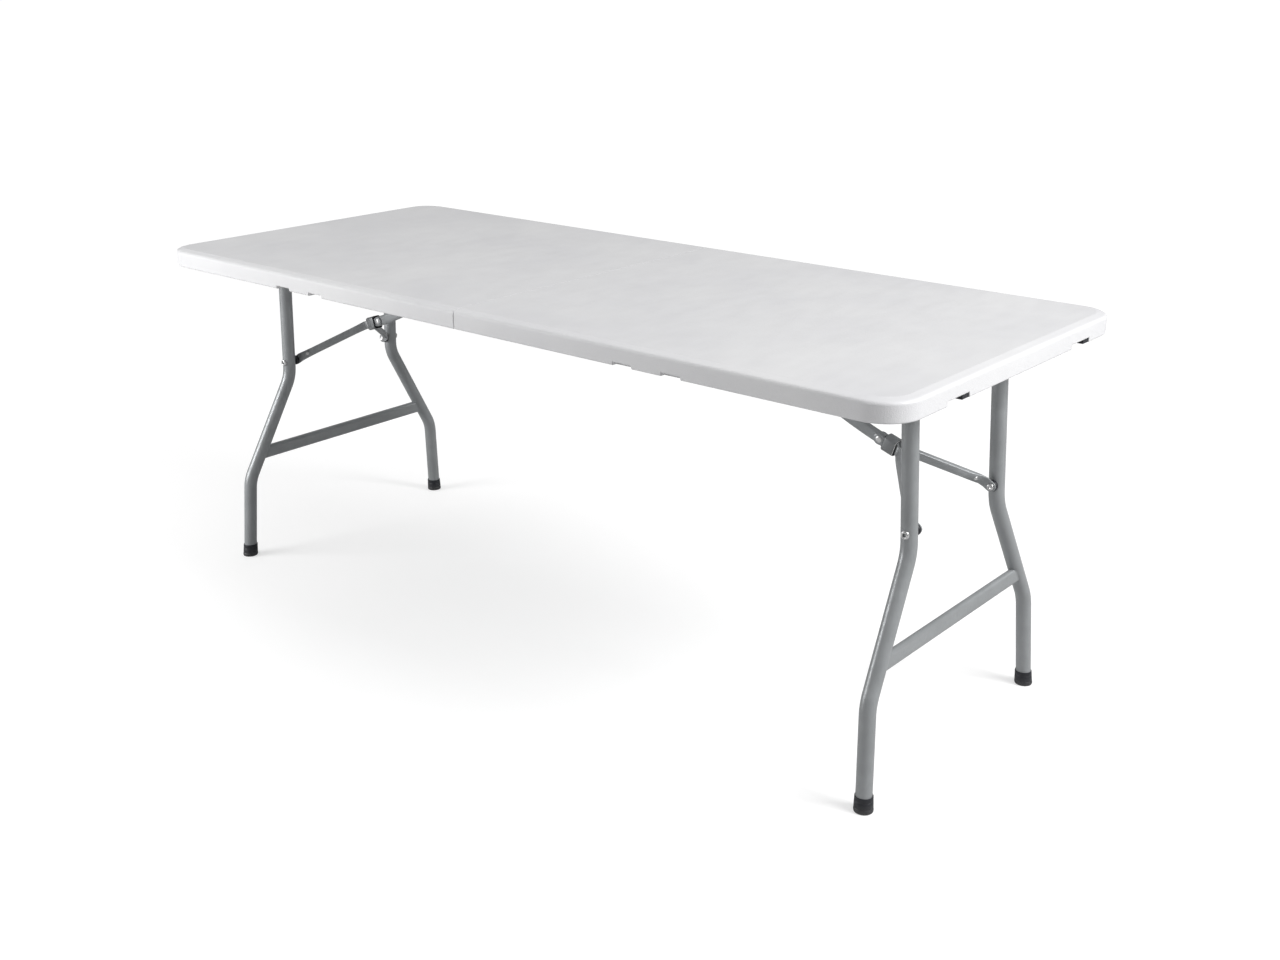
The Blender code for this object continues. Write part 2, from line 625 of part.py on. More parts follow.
def build_brace_bracket(end_name):
    """A plate under the panel with two ears that hold the strut's root."""
    end = ENDS[end_name]
    x = end * ROOT_X
    top = CEILING_Z - CLEARANCE
    half_long, half_wide, plate_thick, ear_half = 0.026, 0.030, 0.002, 0.0095
    plate = box((x - half_long, -half_wide, top - plate_thick), (x + half_long, half_wide, top))
    bracket = add_piece("brace_bracket_" + end_name, plate, PAINT_GREY)
    inner = STRUT_THICK / 2 + EAR_GAP
    for side_name, side in SIDES.items():
        ys = sorted((side * inner, side * (inner + EAR_THICK)))
        ear = box((x - ear_half, ys[0], PIVOT_Z - ear_half), (x + ear_half, ys[1], top - 0.0001))
        edges = [e for e in ear.edges if abs((e.verts[0].co - e.verts[1].co).y) > 0.001
                 and e.verts[0].co.z < PIVOT_Z]
        bmesh.ops.bevel(ear, geom=edges, offset=0.008, segments=4, affect="EDGES", profile=0.5)
        unite(bracket, add_cutter(f"ear_{end_name}_{side_name}", ear))
    bore = rod((x, -0.03, PIVOT_Z), (x, 0.03, PIVOT_Z), BOLT_RADIUS + CLEARANCE)
    cut(bracket, add_cutter("bracket_bore_" + end_name, bore))
    return bracket


def build_brace_pin(end_name):
    """The pin through the bracket's ears and the strut's root."""
    x = ENDS[end_name] * ROOT_X
    half = STRUT_THICK / 2 + EAR_GAP + EAR_THICK + CLEARANCE
    head = 0.0058
    profile = [(0, -0.0020), (head * 0.8, -0.0016), (head, -0.0006), (head, 0), (BOLT_RADIUS, 0),
               (BOLT_RADIUS, 2 * half), (head, 2 * half), (head, 2 * half + 0.0006),
               (head * 0.8, 2 * half + 0.0016), (0, 2 * half + 0.0020)]
    return add_piece("brace_pin_" + end_name, turned(profile, (x, -half, PIVOT_Z), Y_AXIS), ZINC)


# ---- carry handle and latches, on the right panel -----------------------------------
HANDLE_AXIS = Vector((HANDLE_CENTRE_X, -0.3680, RIM_Z + 0.0024))
HANDLE_REACH = 0.064
HANDLE_BARREL_RADIUS = 0.0023
HANDLE_STRAP_HALF_WIDTH = 0.0130
HANDLE_STRAP_THICK = 0.0030
HANDLE_PIN_RADIUS = 0.0012


def build_handle():
    """Two straps from barrels in the rim's notches, and a flat-oval grip between them."""
    barrel_half = HANDLE_NOTCH_WIDTH / 2 - 0.0012
    grip_y = HANDLE_AXIS.y + HANDLE_REACH
    grip_path = [Vector((HANDLE_AXIS.x + s * 0.0725, grip_y, HANDLE_AXIS.z)) for s in (-1, 1)]
    grip = rings_along(grip_path, Z_AXIS, lambda i: flat_oval(0.0085, 0.0062, 3))
    handle = add_piece("carry_handle", loft(grip), PLASTIC_GREY)
    shapes = []
    for step in (-1, 1):
        middle = HANDLE_AXIS + X_AXIS * step * HANDLE_NOTCH_OFFSET
        half = Vector((HANDLE_STRAP_HALF_WIDTH, 0, HANDLE_STRAP_THICK / 2))
        shapes.append(("strap", step, box(middle - half, middle + half + Y_AXIS * HANDLE_REACH)))
        shapes.append(("barrel", step, rod(middle - X_AXIS * barrel_half, middle + X_AXIS * barrel_half,
                                           HANDLE_BARREL_RADIUS, 16)))
    for label, step, shape in shapes:
        unite(handle, add_cutter(f"handle_{label}_{step}", shape))
    bore = rod(HANDLE_AXIS - X_AXIS * 0.1, HANDLE_AXIS + X_AXIS * 0.1, HANDLE_PIN_RADIUS + CLEARANCE, 16)
    cut(handle, add_cutter("handle_bore", bore))
    return handle


def build_handle_pin(panel):
    """One pin through both barrels, held by the rim between and beside the notches."""
    half = X_AXIS * (HANDLE_NOTCH_OFFSET + HANDLE_NOTCH_WIDTH / 2 + 0.007)
    slack = X_AXIS * 0.0005
    hole = rod(HANDLE_AXIS - half - slack, HANDLE_AXIS + half + slack, HANDLE_PIN_RADIUS + CLEARANCE, 16)
    cut(panel, add_cutter("handle_pin_hole", hole))
    return add_piece("handle_pin", rod(HANDLE_AXIS - half, HANDLE_AXIS + half, HANDLE_PIN_RADIUS, 12), ZINC)


def build_latch(side_name, panel):
    """A slider in the notch of the short end, on a rib that runs in a slot of the rim."""
    stop = LATCH_NOTCH_Y[side_name] + LATCH_NOTCH_WIDTH / 2 - CLEARANCE
    start = stop - LATCH_WIDTH
    outer, inner = LENGTH / 2 - 0.0015, LENGTH / 2 - 0.0195
    low, high = RIM_Z + CLEARANCE, RIM_Z + LATCH_NOTCH_DEPTH - CLEARANCE
    body = box((inner, start, low), (outer, stop, high))
    lower_edges = [e for e in body.edges if max(v.co.z for v in e.verts) < low + 0.001]
    bmesh.ops.bevel(body, geom=lower_edges, offset=0.0012, segments=2, affect="EDGES", profile=0.5)
    latch = add_piece("latch_" + side_name, body, PLASTIC_BLACK)
    rib_x, rib_half, rib_high = LENGTH / 2 - 0.0105, 0.0015, high + 0.0060
    rib = box((rib_x - rib_half, start + 0.003, high - 0.001), (rib_x + rib_half, stop - 0.003, rib_high))
    unite(latch, add_cutter("latch_rib_" + side_name, rib))
    slot = box((rib_x - rib_half - CLEARANCE, start + 0.003 - LATCH_TRAVEL - CLEARANCE, high - 0.001),
               (rib_x + rib_half + CLEARANCE, stop - 0.003 + CLEARANCE, rib_high + CLEARANCE))
    cut(panel, add_cutter("latch_slot_" + side_name, slot))
    return latch


# ---- what turns on what -------------------------------------------------------------
def pivot_point(end, x, z):
    return Vector((end * x, 0, z))


def add_pivot(name, position, parent=None):
    """An empty on a joint's axis. The pieces of the body that turns there hang on it."""
    pivot = bpy.data.objects.new(name, None)
    pivot.empty_display_size = 0.03
    bpy.context.scene.collection.objects.link(pivot)
    pivot.location = position
    if parent:
        pivot.parent = parent
        pivot.location = position - Vector(parent["axis_point"])
    pivot["axis_point"] = position
    return pivot


def hang(pivot, *pieces):
    """Parent pieces to a pivot without moving them."""
    for piece in pieces:
        piece.parent = pivot
        piece.matrix_parent_inverse = Matrix.Translation(-Vector(pivot["axis_point"]))


def build_end(end_name, top_pivot):
    """Everything that one end's leg frame needs, under the panel that top_pivot carries."""
    end = ENDS[end_name]
    leg_pivot = add_pivot("leg_fold_" + end_name, pivot_point(end, LEG_TOP_X, PIVOT_Z), top_pivot)
    strut_pivot = add_pivot("strut_swing_" + end_name, mirrored(STRUT_ROOT, end), top_pivot)
    arm_pivot = add_pivot("arm_swing_" + end_name, mirrored(BRACE_JOINT, end), strut_pivot)
    slide = add_pivot("sleeve_slide_" + end_name, mirrored(STRUT_CENTRE, end), strut_pivot)
    hang(leg_pivot, build_pivot_tube(end_name), build_crossbar(end_name))
    hang(strut_pivot, build_strut(end_name), build_joint_pin(end_name))
    hang(slide, build_lock_sleeve(end_name))
    fixed = [build_brace_bracket(end_name), build_brace_pin(end_name)]
    for side_name in SIDES:
        fixed += [build_rail(end_name, side_name), build_pivot_block(end_name, side_name),
                  hinge_leaf(end_name, side_name)]
        hang(leg_pivot, build_leg(end_name, side_name), build_foot(end_name, side_name),
             build_bolt(end_name, side_name), build_spacer(end_name, side_name))
        hang(arm_pivot, build_arm(end_name, side_name), build_bolt_head(end_name, side_name))
    if top_pivot:
        hang(top_pivot, *fixed)


def build_table():
    panel_right = build_panel("right")
    for side_name in SIDES:
        hinge_pin(side_name)
        stop = LATCH_NOTCH_Y[side_name] + LATCH_NOTCH_WIDTH / 2
        slide = add_pivot("latch_slide_" + side_name, Vector((LENGTH / 2 - 0.0105, stop, RIM_Z)))
        hang(slide, build_latch(side_name, panel_right))
    hang(add_pivot("handle_swing", HANDLE_AXIS), build_handle())
    build_handle_pin(panel_right)
    build_end("right", None)
    fold = add_pivot("panel_fold", Vector((0, 0, HINGE_AXIS_Z)))
    hang(fold, build_panel("left"))
    build_end("left", fold)


for old in list(bpy.data.objects):
    bpy.data.objects.remove(old, do_unlink=True)
build_table()
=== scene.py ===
# %% [markdown]
# # A banquet table that folds in half
#
# The real table is two blow-moulded plastic halves, hinged under the seam, and two bent-tube leg frames.
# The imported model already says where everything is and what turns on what. This lesson loads it as a fixed
# frame, and then dresses it: each plain solid is replaced by a finer piece in the same place, and every
# surface gets a finish made of nodes.

# %% Load the frame
import json
import math

import bmesh
import bpy
from mathutils import Matrix, Vector


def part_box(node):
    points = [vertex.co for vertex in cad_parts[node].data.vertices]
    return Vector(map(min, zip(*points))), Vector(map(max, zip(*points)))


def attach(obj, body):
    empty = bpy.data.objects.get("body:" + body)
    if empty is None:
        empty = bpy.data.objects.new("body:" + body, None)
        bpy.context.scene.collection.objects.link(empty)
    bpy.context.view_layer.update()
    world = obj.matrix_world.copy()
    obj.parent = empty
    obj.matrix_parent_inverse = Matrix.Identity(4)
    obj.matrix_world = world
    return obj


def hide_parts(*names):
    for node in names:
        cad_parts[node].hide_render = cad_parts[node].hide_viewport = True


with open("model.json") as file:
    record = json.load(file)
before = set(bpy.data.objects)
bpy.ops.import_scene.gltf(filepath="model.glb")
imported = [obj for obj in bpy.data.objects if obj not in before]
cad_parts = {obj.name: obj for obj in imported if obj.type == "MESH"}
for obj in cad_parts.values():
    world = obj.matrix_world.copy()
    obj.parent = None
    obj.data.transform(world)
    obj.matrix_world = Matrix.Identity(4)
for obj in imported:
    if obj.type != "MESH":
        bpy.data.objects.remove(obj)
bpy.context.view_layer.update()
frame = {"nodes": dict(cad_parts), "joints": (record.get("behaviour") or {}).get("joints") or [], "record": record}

# %% [markdown]
# ## Where things are
#
# Positions are read from the frame, never guessed: a joint's own point gives the line that a piece turns on,
# and the box of a solid gives its faces. A few sizes that no box tells, such as a bend's radius, are named
# here once. Everything is in metres. The table is modelled for its right end and its far side, and the other
# three corners are mirrored from that.

# %% Joints, boxes and a few sizes
X_AXIS, Y_AXIS, Z_AXIS = Vector((1, 0, 0)), Vector((0, 1, 0)), Vector((0, 0, 1))
ENDS = {"right": 1, "left": -1}
SIDES = {"near": -1, "far": 1}
TOP_BODY = {"right": "root", "left": "left_top"}


def joint_point(name):
    return Vector(next(j["pos_m"] for j in frame["joints"] if j["name"] == name))


leg_pivot = joint_point("right_leg_fold")
strut_root = joint_point("right_strut_swing")
brace_joint = joint_point("right_arm_swing")
strut_centre = joint_point("right_sleeve_slide")
handle_axis = joint_point("handle_swing")
bolt_low, bolt_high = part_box("bolt_right_far")
bolt_point = Vector(((bolt_low.x + bolt_high.x) / 2, 0, (bolt_low.z + bolt_high.z) / 2))
panel_low, panel_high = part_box("panel_right")
rail_low, rail_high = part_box("rail_right_far")
foot_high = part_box("foot_right_far")[1]

HEIGHT, RIM_Z = panel_high.z, panel_low.z
SMALL_GAP = 0.0003  # air between two fittings, so that they don't flicker where they meet
CEILING_Z = rail_high.z + SMALL_GAP
LENGTH, WIDTH = 2 * panel_high.x, 2 * panel_high.y
LEAN = (bolt_point.x - leg_pivot.x) / (leg_pivot.z - bolt_point.z)
LEG_RADIUS = 0.01425
LEG_TOP_Y, LEG_SPREAD_Y, LEG_FLOOR_Y = 0.152, 0.277, 0.290
UPPER_BEND_Z, LOWER_BEND_Z, LEG_BEND_RADIUS = 0.411, 0.187, 0.085
CROSSBAR_Z, CROSSBAR_TALL, CROSSBAR_THICK = 0.244, 0.030, 0.0155
PIVOT_RADIUS = 0.011
STRUT_TALL, STRUT_THICK = 0.022, 0.011
ARM_TAB_Y = 0.1282
print("the leg frames lean out by", round(math.degrees(math.atan(LEAN)), 2), "degrees")

# %% [markdown]
# ## Drawing a ring along a path
#
# Tubes and bars are most of this table. In Blender's editor one would draw a circle, extrude its edge loop
# straight, and spin it round a bend. The same two operators do it here: `extrude_edge_only` for a straight
# run and `spin` for a bend. A curve with a bevel would be shorter to write, but it can't change its section
# on the way, and these bars are flattened where they are riveted.


# %% Rings, runs and bends
def only(kind, geometry):
    return [g for g in geometry if isinstance(g, kind)]


def edges_between(verts):
    verts = set(verts)
    return list({e for v in verts for e in v.link_edges if e.other_vert(v) in verts})


def verts_of(edges):
    return list({v for e in edges for v in e.verts})


def round_ring(bm, radius, segments, matrix):
    made = bmesh.ops.create_circle(bm, segments=segments, radius=radius, matrix=matrix)
    return edges_between(made["verts"])


def box_ring(bm, wide, tall, corner, matrix, segments=4):
    """A rectangle's outline with round corners, in the XY plane of the matrix."""
    before = set(bm.verts)
    size = Matrix.Diagonal((wide, tall, 1, 1))
    made = bmesh.ops.create_grid(bm, x_segments=1, y_segments=1, size=0.5, matrix=size)
    bmesh.ops.bevel(bm, geom=made["verts"], offset=corner, segments=segments, profile=0.5,
                    affect="VERTICES", material=-1)
    verts = [v for v in bm.verts if v not in before]
    bmesh.ops.transform(bm, matrix=matrix, verts=verts)
    faces = list({f for v in verts for f in v.link_faces})
    bmesh.ops.delete(bm, geom=faces, context="FACES_ONLY")
    return edges_between(verts)


def pull(bm, edges, matrix):
    """Extrude an open ring and move the new one. Returns its edges."""
    grown = only(bmesh.types.BMVert, bmesh.ops.extrude_edge_only(bm, edges=edges)["geom"])
    bmesh.ops.transform(bm, matrix=matrix, verts=grown)
    return edges_between(grown)


def swing(bm, edges, centre, axis, angle, steps):
    """Spin an open ring round a bend. Returns the last ring's edges."""
    verts = verts_of(edges)
    spun = bmesh.ops.spin(bm, geom=verts + edges, cent=centre, axis=axis, angle=angle,
                          steps=steps)
    return edges_between(only(bmesh.types.BMVert, spun["geom_last"]))


def run_along(bm, edges, corners, bend_radius, steps):
    """Draw a ring from the first corner to the last, with a round bend at each one between."""
    here = corners[0]
    for before, corner, after in zip(corners, corners[1:], corners[2:]):
        back, ahead = (before - corner).normalized(), (after - corner).normalized()
        turn = math.pi - back.angle(ahead)
        reach = bend_radius * math.tan(turn / 2)
        edges = pull(bm, edges, Matrix.Translation(corner + back * reach - here))
        centre = corner + (back + ahead).normalized() * (bend_radius / math.cos(turn / 2))
        edges = swing(bm, edges, centre, ahead.cross(back), turn, steps)
        here = corner + ahead * reach
    return pull(bm, edges, Matrix.Translation(corners[-1] - here))


def close_ring(bm, edges):
    return bmesh.ops.edgeloop_fill(bm, edges=edges)["faces"]


def facing(point, normal, up):
    """A matrix that stands a flat drawing at a point: its Y along up, its Z along the normal."""
    normal = Vector(normal).normalized()
    across = Vector(up).cross(normal).normalized()
    turn = Matrix((across, normal.cross(across), normal)).transposed()
    return Matrix.Translation(point) @ turn.to_4x4()


def grow_about(point, factor, along=None):
    """Scale about a point, evenly or along one direction."""
    scale = Matrix.Scale(factor, 4) if along is None else Matrix.Scale(factor, 4, along)
    return Matrix.Translation(point) @ scale @ Matrix.Translation(-Vector(point))


print("helpers are ready: round_ring, box_ring, pull, swing, run_along")

# %% [markdown]
# ## Turned pieces and finished pieces
#
# Feet, rivets and washers are bodies of revolution, so they are drawn as half a profile and spun. A finished
# piece keeps its object at the origin with its place in its mesh, as the frame's own solids do. Its normals
# are recalculated after its doubles are merged, because a spin or a mirror can turn a shape inside out.


# %% Spin a profile, and finish a piece
def lathe(bm, profile, origin, axis, steps=48):
    """Spin a profile of (radius, distance along the axis) round the axis."""
    axis = Vector(axis).normalized()
    across = axis.orthogonal().normalized()
    verts = [bm.verts.new(Vector(origin) + axis * along + across * radius) for radius, along in profile]
    edges = [bm.edges.new(pair) for pair in zip(verts, verts[1:])]
    bmesh.ops.spin(bm, geom=verts + edges, cent=origin, axis=axis, angle=2 * math.pi, steps=steps,
                   use_merge=True)


def finish_piece(name, bm, body, material, nodes=(), sharp=40.0):
    """Turn a bmesh into a piece that rides on a body, and may stand for some of the frame's solids."""
    bmesh.ops.remove_doubles(bm, verts=bm.verts, dist=1e-6)
    bmesh.ops.recalc_face_normals(bm, faces=bm.faces)
    mesh = bpy.data.meshes.new(name)
    bm.to_mesh(mesh)
    bm.free()
    mesh.shade_smooth()
    mesh.set_sharp_from_angle(angle=math.radians(sharp))
    mesh.materials.append(material)
    piece = bpy.data.objects.new(name, mesh)
    bpy.context.scene.collection.objects.link(piece)
    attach(piece, body)
    if nodes:
        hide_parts(*nodes)
    return piece


def mirrored(bm, end, side=1):
    """A copy of a right, far bmesh for another end and side."""
    copy = bm.copy()
    bmesh.ops.transform(copy, matrix=Matrix.Diagonal((end, side, 1, 1)), verts=copy.verts)
    if end * side < 0:
        bmesh.ops.reverse_faces(copy, faces=copy.faces)
    return copy


def add_block(bm, low, high, bevel=0.0, segments=2):
    """A box with softened edges."""
    low, high = Vector(low), Vector(high)
    size = Matrix.Diagonal((*(high - low), 1.0))
    made = bmesh.ops.create_cube(bm, size=1.0, matrix=Matrix.Translation((low + high) / 2) @ size)
    if bevel:
        edges = list({e for v in made["verts"] for e in v.link_edges})
        bmesh.ops.bevel(bm, geom=edges, offset=bevel, segments=segments, profile=0.5,
                        affect="EDGES", material=-1)


print("helpers are ready: lathe, finish_piece, mirrored, add_block")

# %% [markdown]
# ## Finishes
#
# A finish is a Principled shader, plus a little noise in the places where a real surface is uneven: its
# colour, its gloss and its grain. All noise reads Object coordinates. The pieces sit at the origin, so one
# metre of noise space is one metre of table, and a grain of 0.7 mm needs a scale near 1400.


# %% Tools for node materials
class Finish:
    """A small notebook for one material's node tree."""

    def __init__(self, name, color, roughness, metallic=0.0):
        self.material = bpy.data.materials.new(name)
        self.material.use_nodes = True
        self.tree = self.material.node_tree
        self.shader = self.tree.nodes["Principled BSDF"]
        self.shader.inputs["Base Color"].default_value = (*color, 1.0)
        self.shader.inputs["Roughness"].default_value = roughness
        self.shader.inputs["Metallic"].default_value = metallic
        self.place = self.tree.nodes.new("ShaderNodeTexCoord").outputs["Object"]

    def link(self, output, node, socket):
        self.tree.links.new(output, node.inputs[socket])

    def stretched(self, scale):
        mapping = self.tree.nodes.new("ShaderNodeMapping")
        mapping.inputs["Scale"].default_value = scale
        self.link(self.place, mapping, "Vector")
        return mapping.outputs["Vector"]

    def noise(self, scale, detail=2.0, place=None):
        node = self.tree.nodes.new("ShaderNodeTexNoise")
        node.inputs["Scale"].default_value = scale
        node.inputs["Detail"].default_value = detail
        self.link(place or self.place, node, "Vector")
        return node.outputs["Fac"]

    def cells(self, scale, smoothness=0.5):
        node = self.tree.nodes.new("ShaderNodeTexVoronoi")
        node.feature = "SMOOTH_F1"
        node.inputs["Scale"].default_value = scale
        node.inputs["Smoothness"].default_value = smoothness
        self.link(self.place, node, "Vector")
        return node.outputs["Distance"]

    def remap(self, value, from_low, from_high, to_low, to_high):
        node = self.tree.nodes.new("ShaderNodeMapRange")
        for socket, number in zip(("From Min", "From Max", "To Min", "To Max"),
                                  (from_low, from_high, to_low, to_high)):
            node.inputs[socket].default_value = number
        self.link(value, node, "Value")
        return node.outputs["Result"]

    def math(self, operation, a, b):
        node = self.tree.nodes.new("ShaderNodeMath")
        node.operation = operation
        for index, value in enumerate((a, b)):
            if isinstance(value, (int, float)):
                node.inputs[index].default_value = value
            else:
                self.tree.links.new(value, node.inputs[index])
        return node.outputs["Value"]

    def height(self):
        node = self.tree.nodes.new("ShaderNodeSeparateXYZ")
        self.link(self.place, node, "Vector")
        return node.outputs["Z"]

    def color_between(self, value, low, high):
        node = self.tree.nodes.new("ShaderNodeMix")
        node.data_type = "RGBA"
        node.inputs["A"].default_value = (*low, 1.0)
        node.inputs["B"].default_value = (*high, 1.0)
        self.link(value, node, "Factor")
        return node.outputs["Result"]

    def color(self, output):
        self.link(output, self.shader, "Base Color")

    def roughness(self, output):
        self.link(output, self.shader, "Roughness")

    def bump(self, height, distance, strength=1.0):
        """Add one more layer of bumps on top of the ones that are there."""
        node = self.tree.nodes.new("ShaderNodeBump")
        node.inputs["Distance"].default_value = distance
        node.inputs["Strength"].default_value = strength
        self.link(height, node, "Height")
        previous = self.shader.inputs["Normal"]
        if previous.is_linked:
            self.link(previous.links[0].from_socket, node, "Normal")
        self.link(node.outputs["Normal"], self.shader, "Normal")


print("each finish is made with the Finish notebook")

# %% [markdown]
# ### Moulded polyethylene
#
# The top is satin and nearly white, with the faint cloudiness of blow-moulded plastic. Its upper face has a
# fine pebble that hides scratches. The walls and the underside come from a blasted mould and are coarser.
# The height in the mesh tells the two apart, so one finish serves both.


# %% White plastic
def make_white_plastic():
    finish = Finish("white_polyethylene", (0.71, 0.71, 0.72), 0.45)
    clouds = finish.noise(5.0, 3.0)
    finish.color(finish.color_between(finish.remap(clouds, 0.3, 0.7, 0.0, 1.0),
                                      (0.690, 0.690, 0.705), (0.735, 0.735, 0.742)))
    top_mask = finish.remap(finish.height(), HEIGHT - 0.0045, HEIGHT - 0.0015, 1.0, 0.25)
    rubbed = finish.noise(38.0, 5.0, finish.stretched((1.0, 0.35, 1.0)))
    finish.roughness(finish.remap(rubbed, 0.3, 0.75, 0.40, 0.56))
    cells = finish.cells(520.0)
    grain = finish.math("MULTIPLY", finish.noise(1500.0, 1.0), 0.5)
    pebble = finish.math("ADD", cells, grain)
    finish.bump(finish.math("MULTIPLY", pebble, top_mask), 0.00045, 0.55)
    finish.bump(finish.noise(16.0, 1.0), 0.0012, 0.25)
    return finish.material


white_plastic = make_white_plastic()
print(white_plastic.name, "has", len(white_plastic.node_tree.nodes), "nodes")

# %% [markdown]
# ### Powder coat, zinc and black plastic
#
# The frame's grey powder coat flows out to an orange peel about 2 mm across with a fine sparkle on top. The
# lock sleeves are painted darker. The rivets are zinc: a mirror colour, made dull by fine scratches. The feet
# are moulded in black, and pick up dust from the floor. The same black is painted shade on the spacers and
# painted shadow in the sleeves' mouths, and the same zinc makes painted highlights on the sleeves' edges and
# on the arms. The pivot blocks are a plain grey plastic.


# %% Paint, zinc and plastics
def make_grey_paint(name, shade):
    """The frame's paint. A shade under 1 makes it darker."""
    dark, light = Vector((0.278, 0.290, 0.297)) * shade, Vector((0.320, 0.332, 0.342)) * shade
    finish = Finish(name, dark.lerp(light, 0.5), 0.36, 0.25)
    patches = finish.noise(22.0, 4.0)
    finish.color(finish.color_between(finish.remap(patches, 0.3, 0.7, 0.0, 1.0), dark, light))
    finish.roughness(finish.remap(finish.noise(160.0, 2.0), 0.3, 0.7, 0.30, 0.44))
    cells = finish.cells(420.0, 0.8)
    sparkle = finish.math("MULTIPLY", finish.noise(1800.0, 1.0), 0.35)
    finish.bump(finish.math("ADD", cells, sparkle), 0.00035, 0.5)
    finish.shader.inputs["Coat Weight"].default_value = 0.15
    finish.shader.inputs["Coat Roughness"].default_value = 0.25
    return finish.material


# besides the rivets, this zinc is a painted highlight on the sleeves' edges and on the arms
def make_zinc():
    finish = Finish("zinc_plate", (0.66, 0.66, 0.67), 0.3, 1.0)
    spangle = finish.cells(260.0, 0.2)
    finish.color(finish.color_between(finish.remap(spangle, 0.0, 0.8, 0.0, 1.0),
                                      (0.60, 0.60, 0.62), (0.74, 0.74, 0.73)))
    scratches = finish.noise(900.0, 2.0, finish.stretched((1.0, 1.0, 0.12)))
    finish.roughness(finish.remap(scratches, 0.3, 0.7, 0.22, 0.42))
    finish.bump(scratches, 0.00006, 0.6)
    return finish.material


# besides the feet, this black is painted shade on the leg spacers and painted shadow in the sleeves' mouths
def make_black_plastic():
    finish = Finish("black_plastic", (0.016, 0.017, 0.021), 0.45)
    low_dust = finish.remap(finish.height(), 0.0, 0.018, 0.55, 0.0)
    dust = finish.math("MULTIPLY", finish.noise(240.0, 4.0), low_dust)
    finish.color(finish.color_between(dust, (0.014, 0.015, 0.020), (0.16, 0.155, 0.15)))
    finish.roughness(finish.remap(finish.noise(300.0, 3.0), 0.3, 0.7, 0.36, 0.56))
    finish.bump(finish.noise(1400.0, 2.0), 0.00018, 0.5)
    return finish.material


def make_grey_plastic():
    finish = Finish("grey_plastic", (0.55, 0.55, 0.56), 0.5)
    finish.color(finish.color_between(finish.noise(30.0, 3.0),
                                      (0.51, 0.51, 0.52), (0.58, 0.58, 0.59)))
    finish.roughness(finish.remap(finish.noise(220.0, 3.0), 0.3, 0.7, 0.40, 0.58))
    finish.bump(finish.cells(700.0), 0.00025, 0.4)
    return finish.material


grey_paint = make_grey_paint("grey_powder_coat", 1.0)
sleeve_paint = make_grey_paint("sleeve_powder_coat", 0.72)
zinc = make_zinc()
black_plastic = make_black_plastic()
grey_plastic = make_grey_plastic()
print("finishes:", ", ".join(m.name for m in (grey_paint, sleeve_paint, zinc, black_plastic, grey_plastic)))

# %% [markdown]
# ## The two halves of the top
#
# Both halves come out of one mould: the left one is the right one turned half round. A half starts as a
# block that is longer than it needs to be. Its corners are bevelled, and its upper face is inset three times
# to make the border that runs round the table: a rounded edge, a gently sloping band and a small step up to
# the flat. Only then is it cut at the seam with `bisect_plane`, so that the border stops there as on the
# real one.

# %% Sizes of the top
CORNER_RADIUS = 0.065
BORDER_WIDTH = 0.019
EDGE_WIDTH, EDGE_DROP, EDGE_RADIUS = 0.0072, 0.0042, 0.0050
BORDER_DROP = 0.0024
STEP_WIDTH, STEP_DROP = 0.0009, 0.0006
RIM_WIDTH = 0.022
SEAM_RIM = 0.034
SEAM_HALF_GAP = panel_low.x
OVERRUN = 0.25  # how far the block reaches past the seam before it is cut


def flat_faces(bm, z, normal_z):
    """The level faces at a height that look up (1) or down (-1)."""
    return [f for f in bm.faces
            if f.normal.z * normal_z > 0.99 and abs(f.calc_center_median().z - z) < 1e-5]


def start_half_top():
    """A block with round outer corners, and a border that falls away from the flat top in three rings."""
    bm = bmesh.new()
    add_block(bm, (panel_low.x - OVERRUN, panel_low.y, RIM_Z), (panel_high.x, panel_high.y, HEIGHT))
    upright = [e for e in bm.edges if abs((e.verts[0].co - e.verts[1].co).z) > 0.01 and e.verts[0].co.x > 0]
    bmesh.ops.bevel(bm, geom=upright, offset=CORNER_RADIUS, segments=28, profile=0.5, affect="EDGES",
                    material=-1)
    bm.normal_update()
    upper = flat_faces(bm, HEIGHT, 1)[0]
    bmesh.ops.translate(bm, verts=upper.verts[:], vec=(0, 0, -EDGE_DROP))
    for width, rise in ((EDGE_WIDTH, EDGE_DROP - BORDER_DROP),
                        (BORDER_WIDTH - EDGE_WIDTH - STEP_WIDTH, BORDER_DROP - STEP_DROP),
                        (STEP_WIDTH, STEP_DROP)):
        bmesh.ops.inset_region(bm, faces=[upper], thickness=width, use_even_offset=True)
        bmesh.ops.translate(bm, verts=upper.verts[:], vec=(0, 0, rise))
    return bm


def round_upper_edge(bm):
    """The outer upper edge, moulded round, between the border and the wall."""
    bm.normal_update()
    edges = [e for e in bm.edges if all(abs(v.co.z - (HEIGHT - EDGE_DROP)) < 1e-6 for v in e.verts)
             and any(abs(f.normal.z) < 0.5 for f in e.link_faces)]
    bmesh.ops.bevel(bm, geom=edges, offset=EDGE_RADIUS, segments=6, profile=0.5, affect="EDGES",
                    material=-1)


def cut_at_seam(bm):
    """Cut away what reaches past the seam, and close the cut with one face."""
    everything = list(bm.verts) + list(bm.edges) + list(bm.faces)
    cut = bmesh.ops.bisect_plane(bm, geom=everything, plane_co=(SEAM_HALF_GAP, 0, 0), plane_no=(1, 0, 0),
                                 clear_inner=True, clear_outer=False)
    bmesh.ops.holes_fill(bm, edges=only(bmesh.types.BMEdge, cut["geom_cut"]), sides=0)


half_top = start_half_top()
round_upper_edge(half_top)
cut_at_seam(half_top)
half_top.normal_update()
print("the half top has", len(half_top.faces), "faces after its seam is cut")

# %% [markdown]
# ### The hollow underside
#
# The underside is a tray turned over: its floor face is inset to the rim's width and extruded up. On a
# blow-moulded sheet the two skins are pinched together at many small cups, which stop it from bulging. The
# tray's ceiling is cut into squares for that, and a small rounded patch of each square is pushed up.

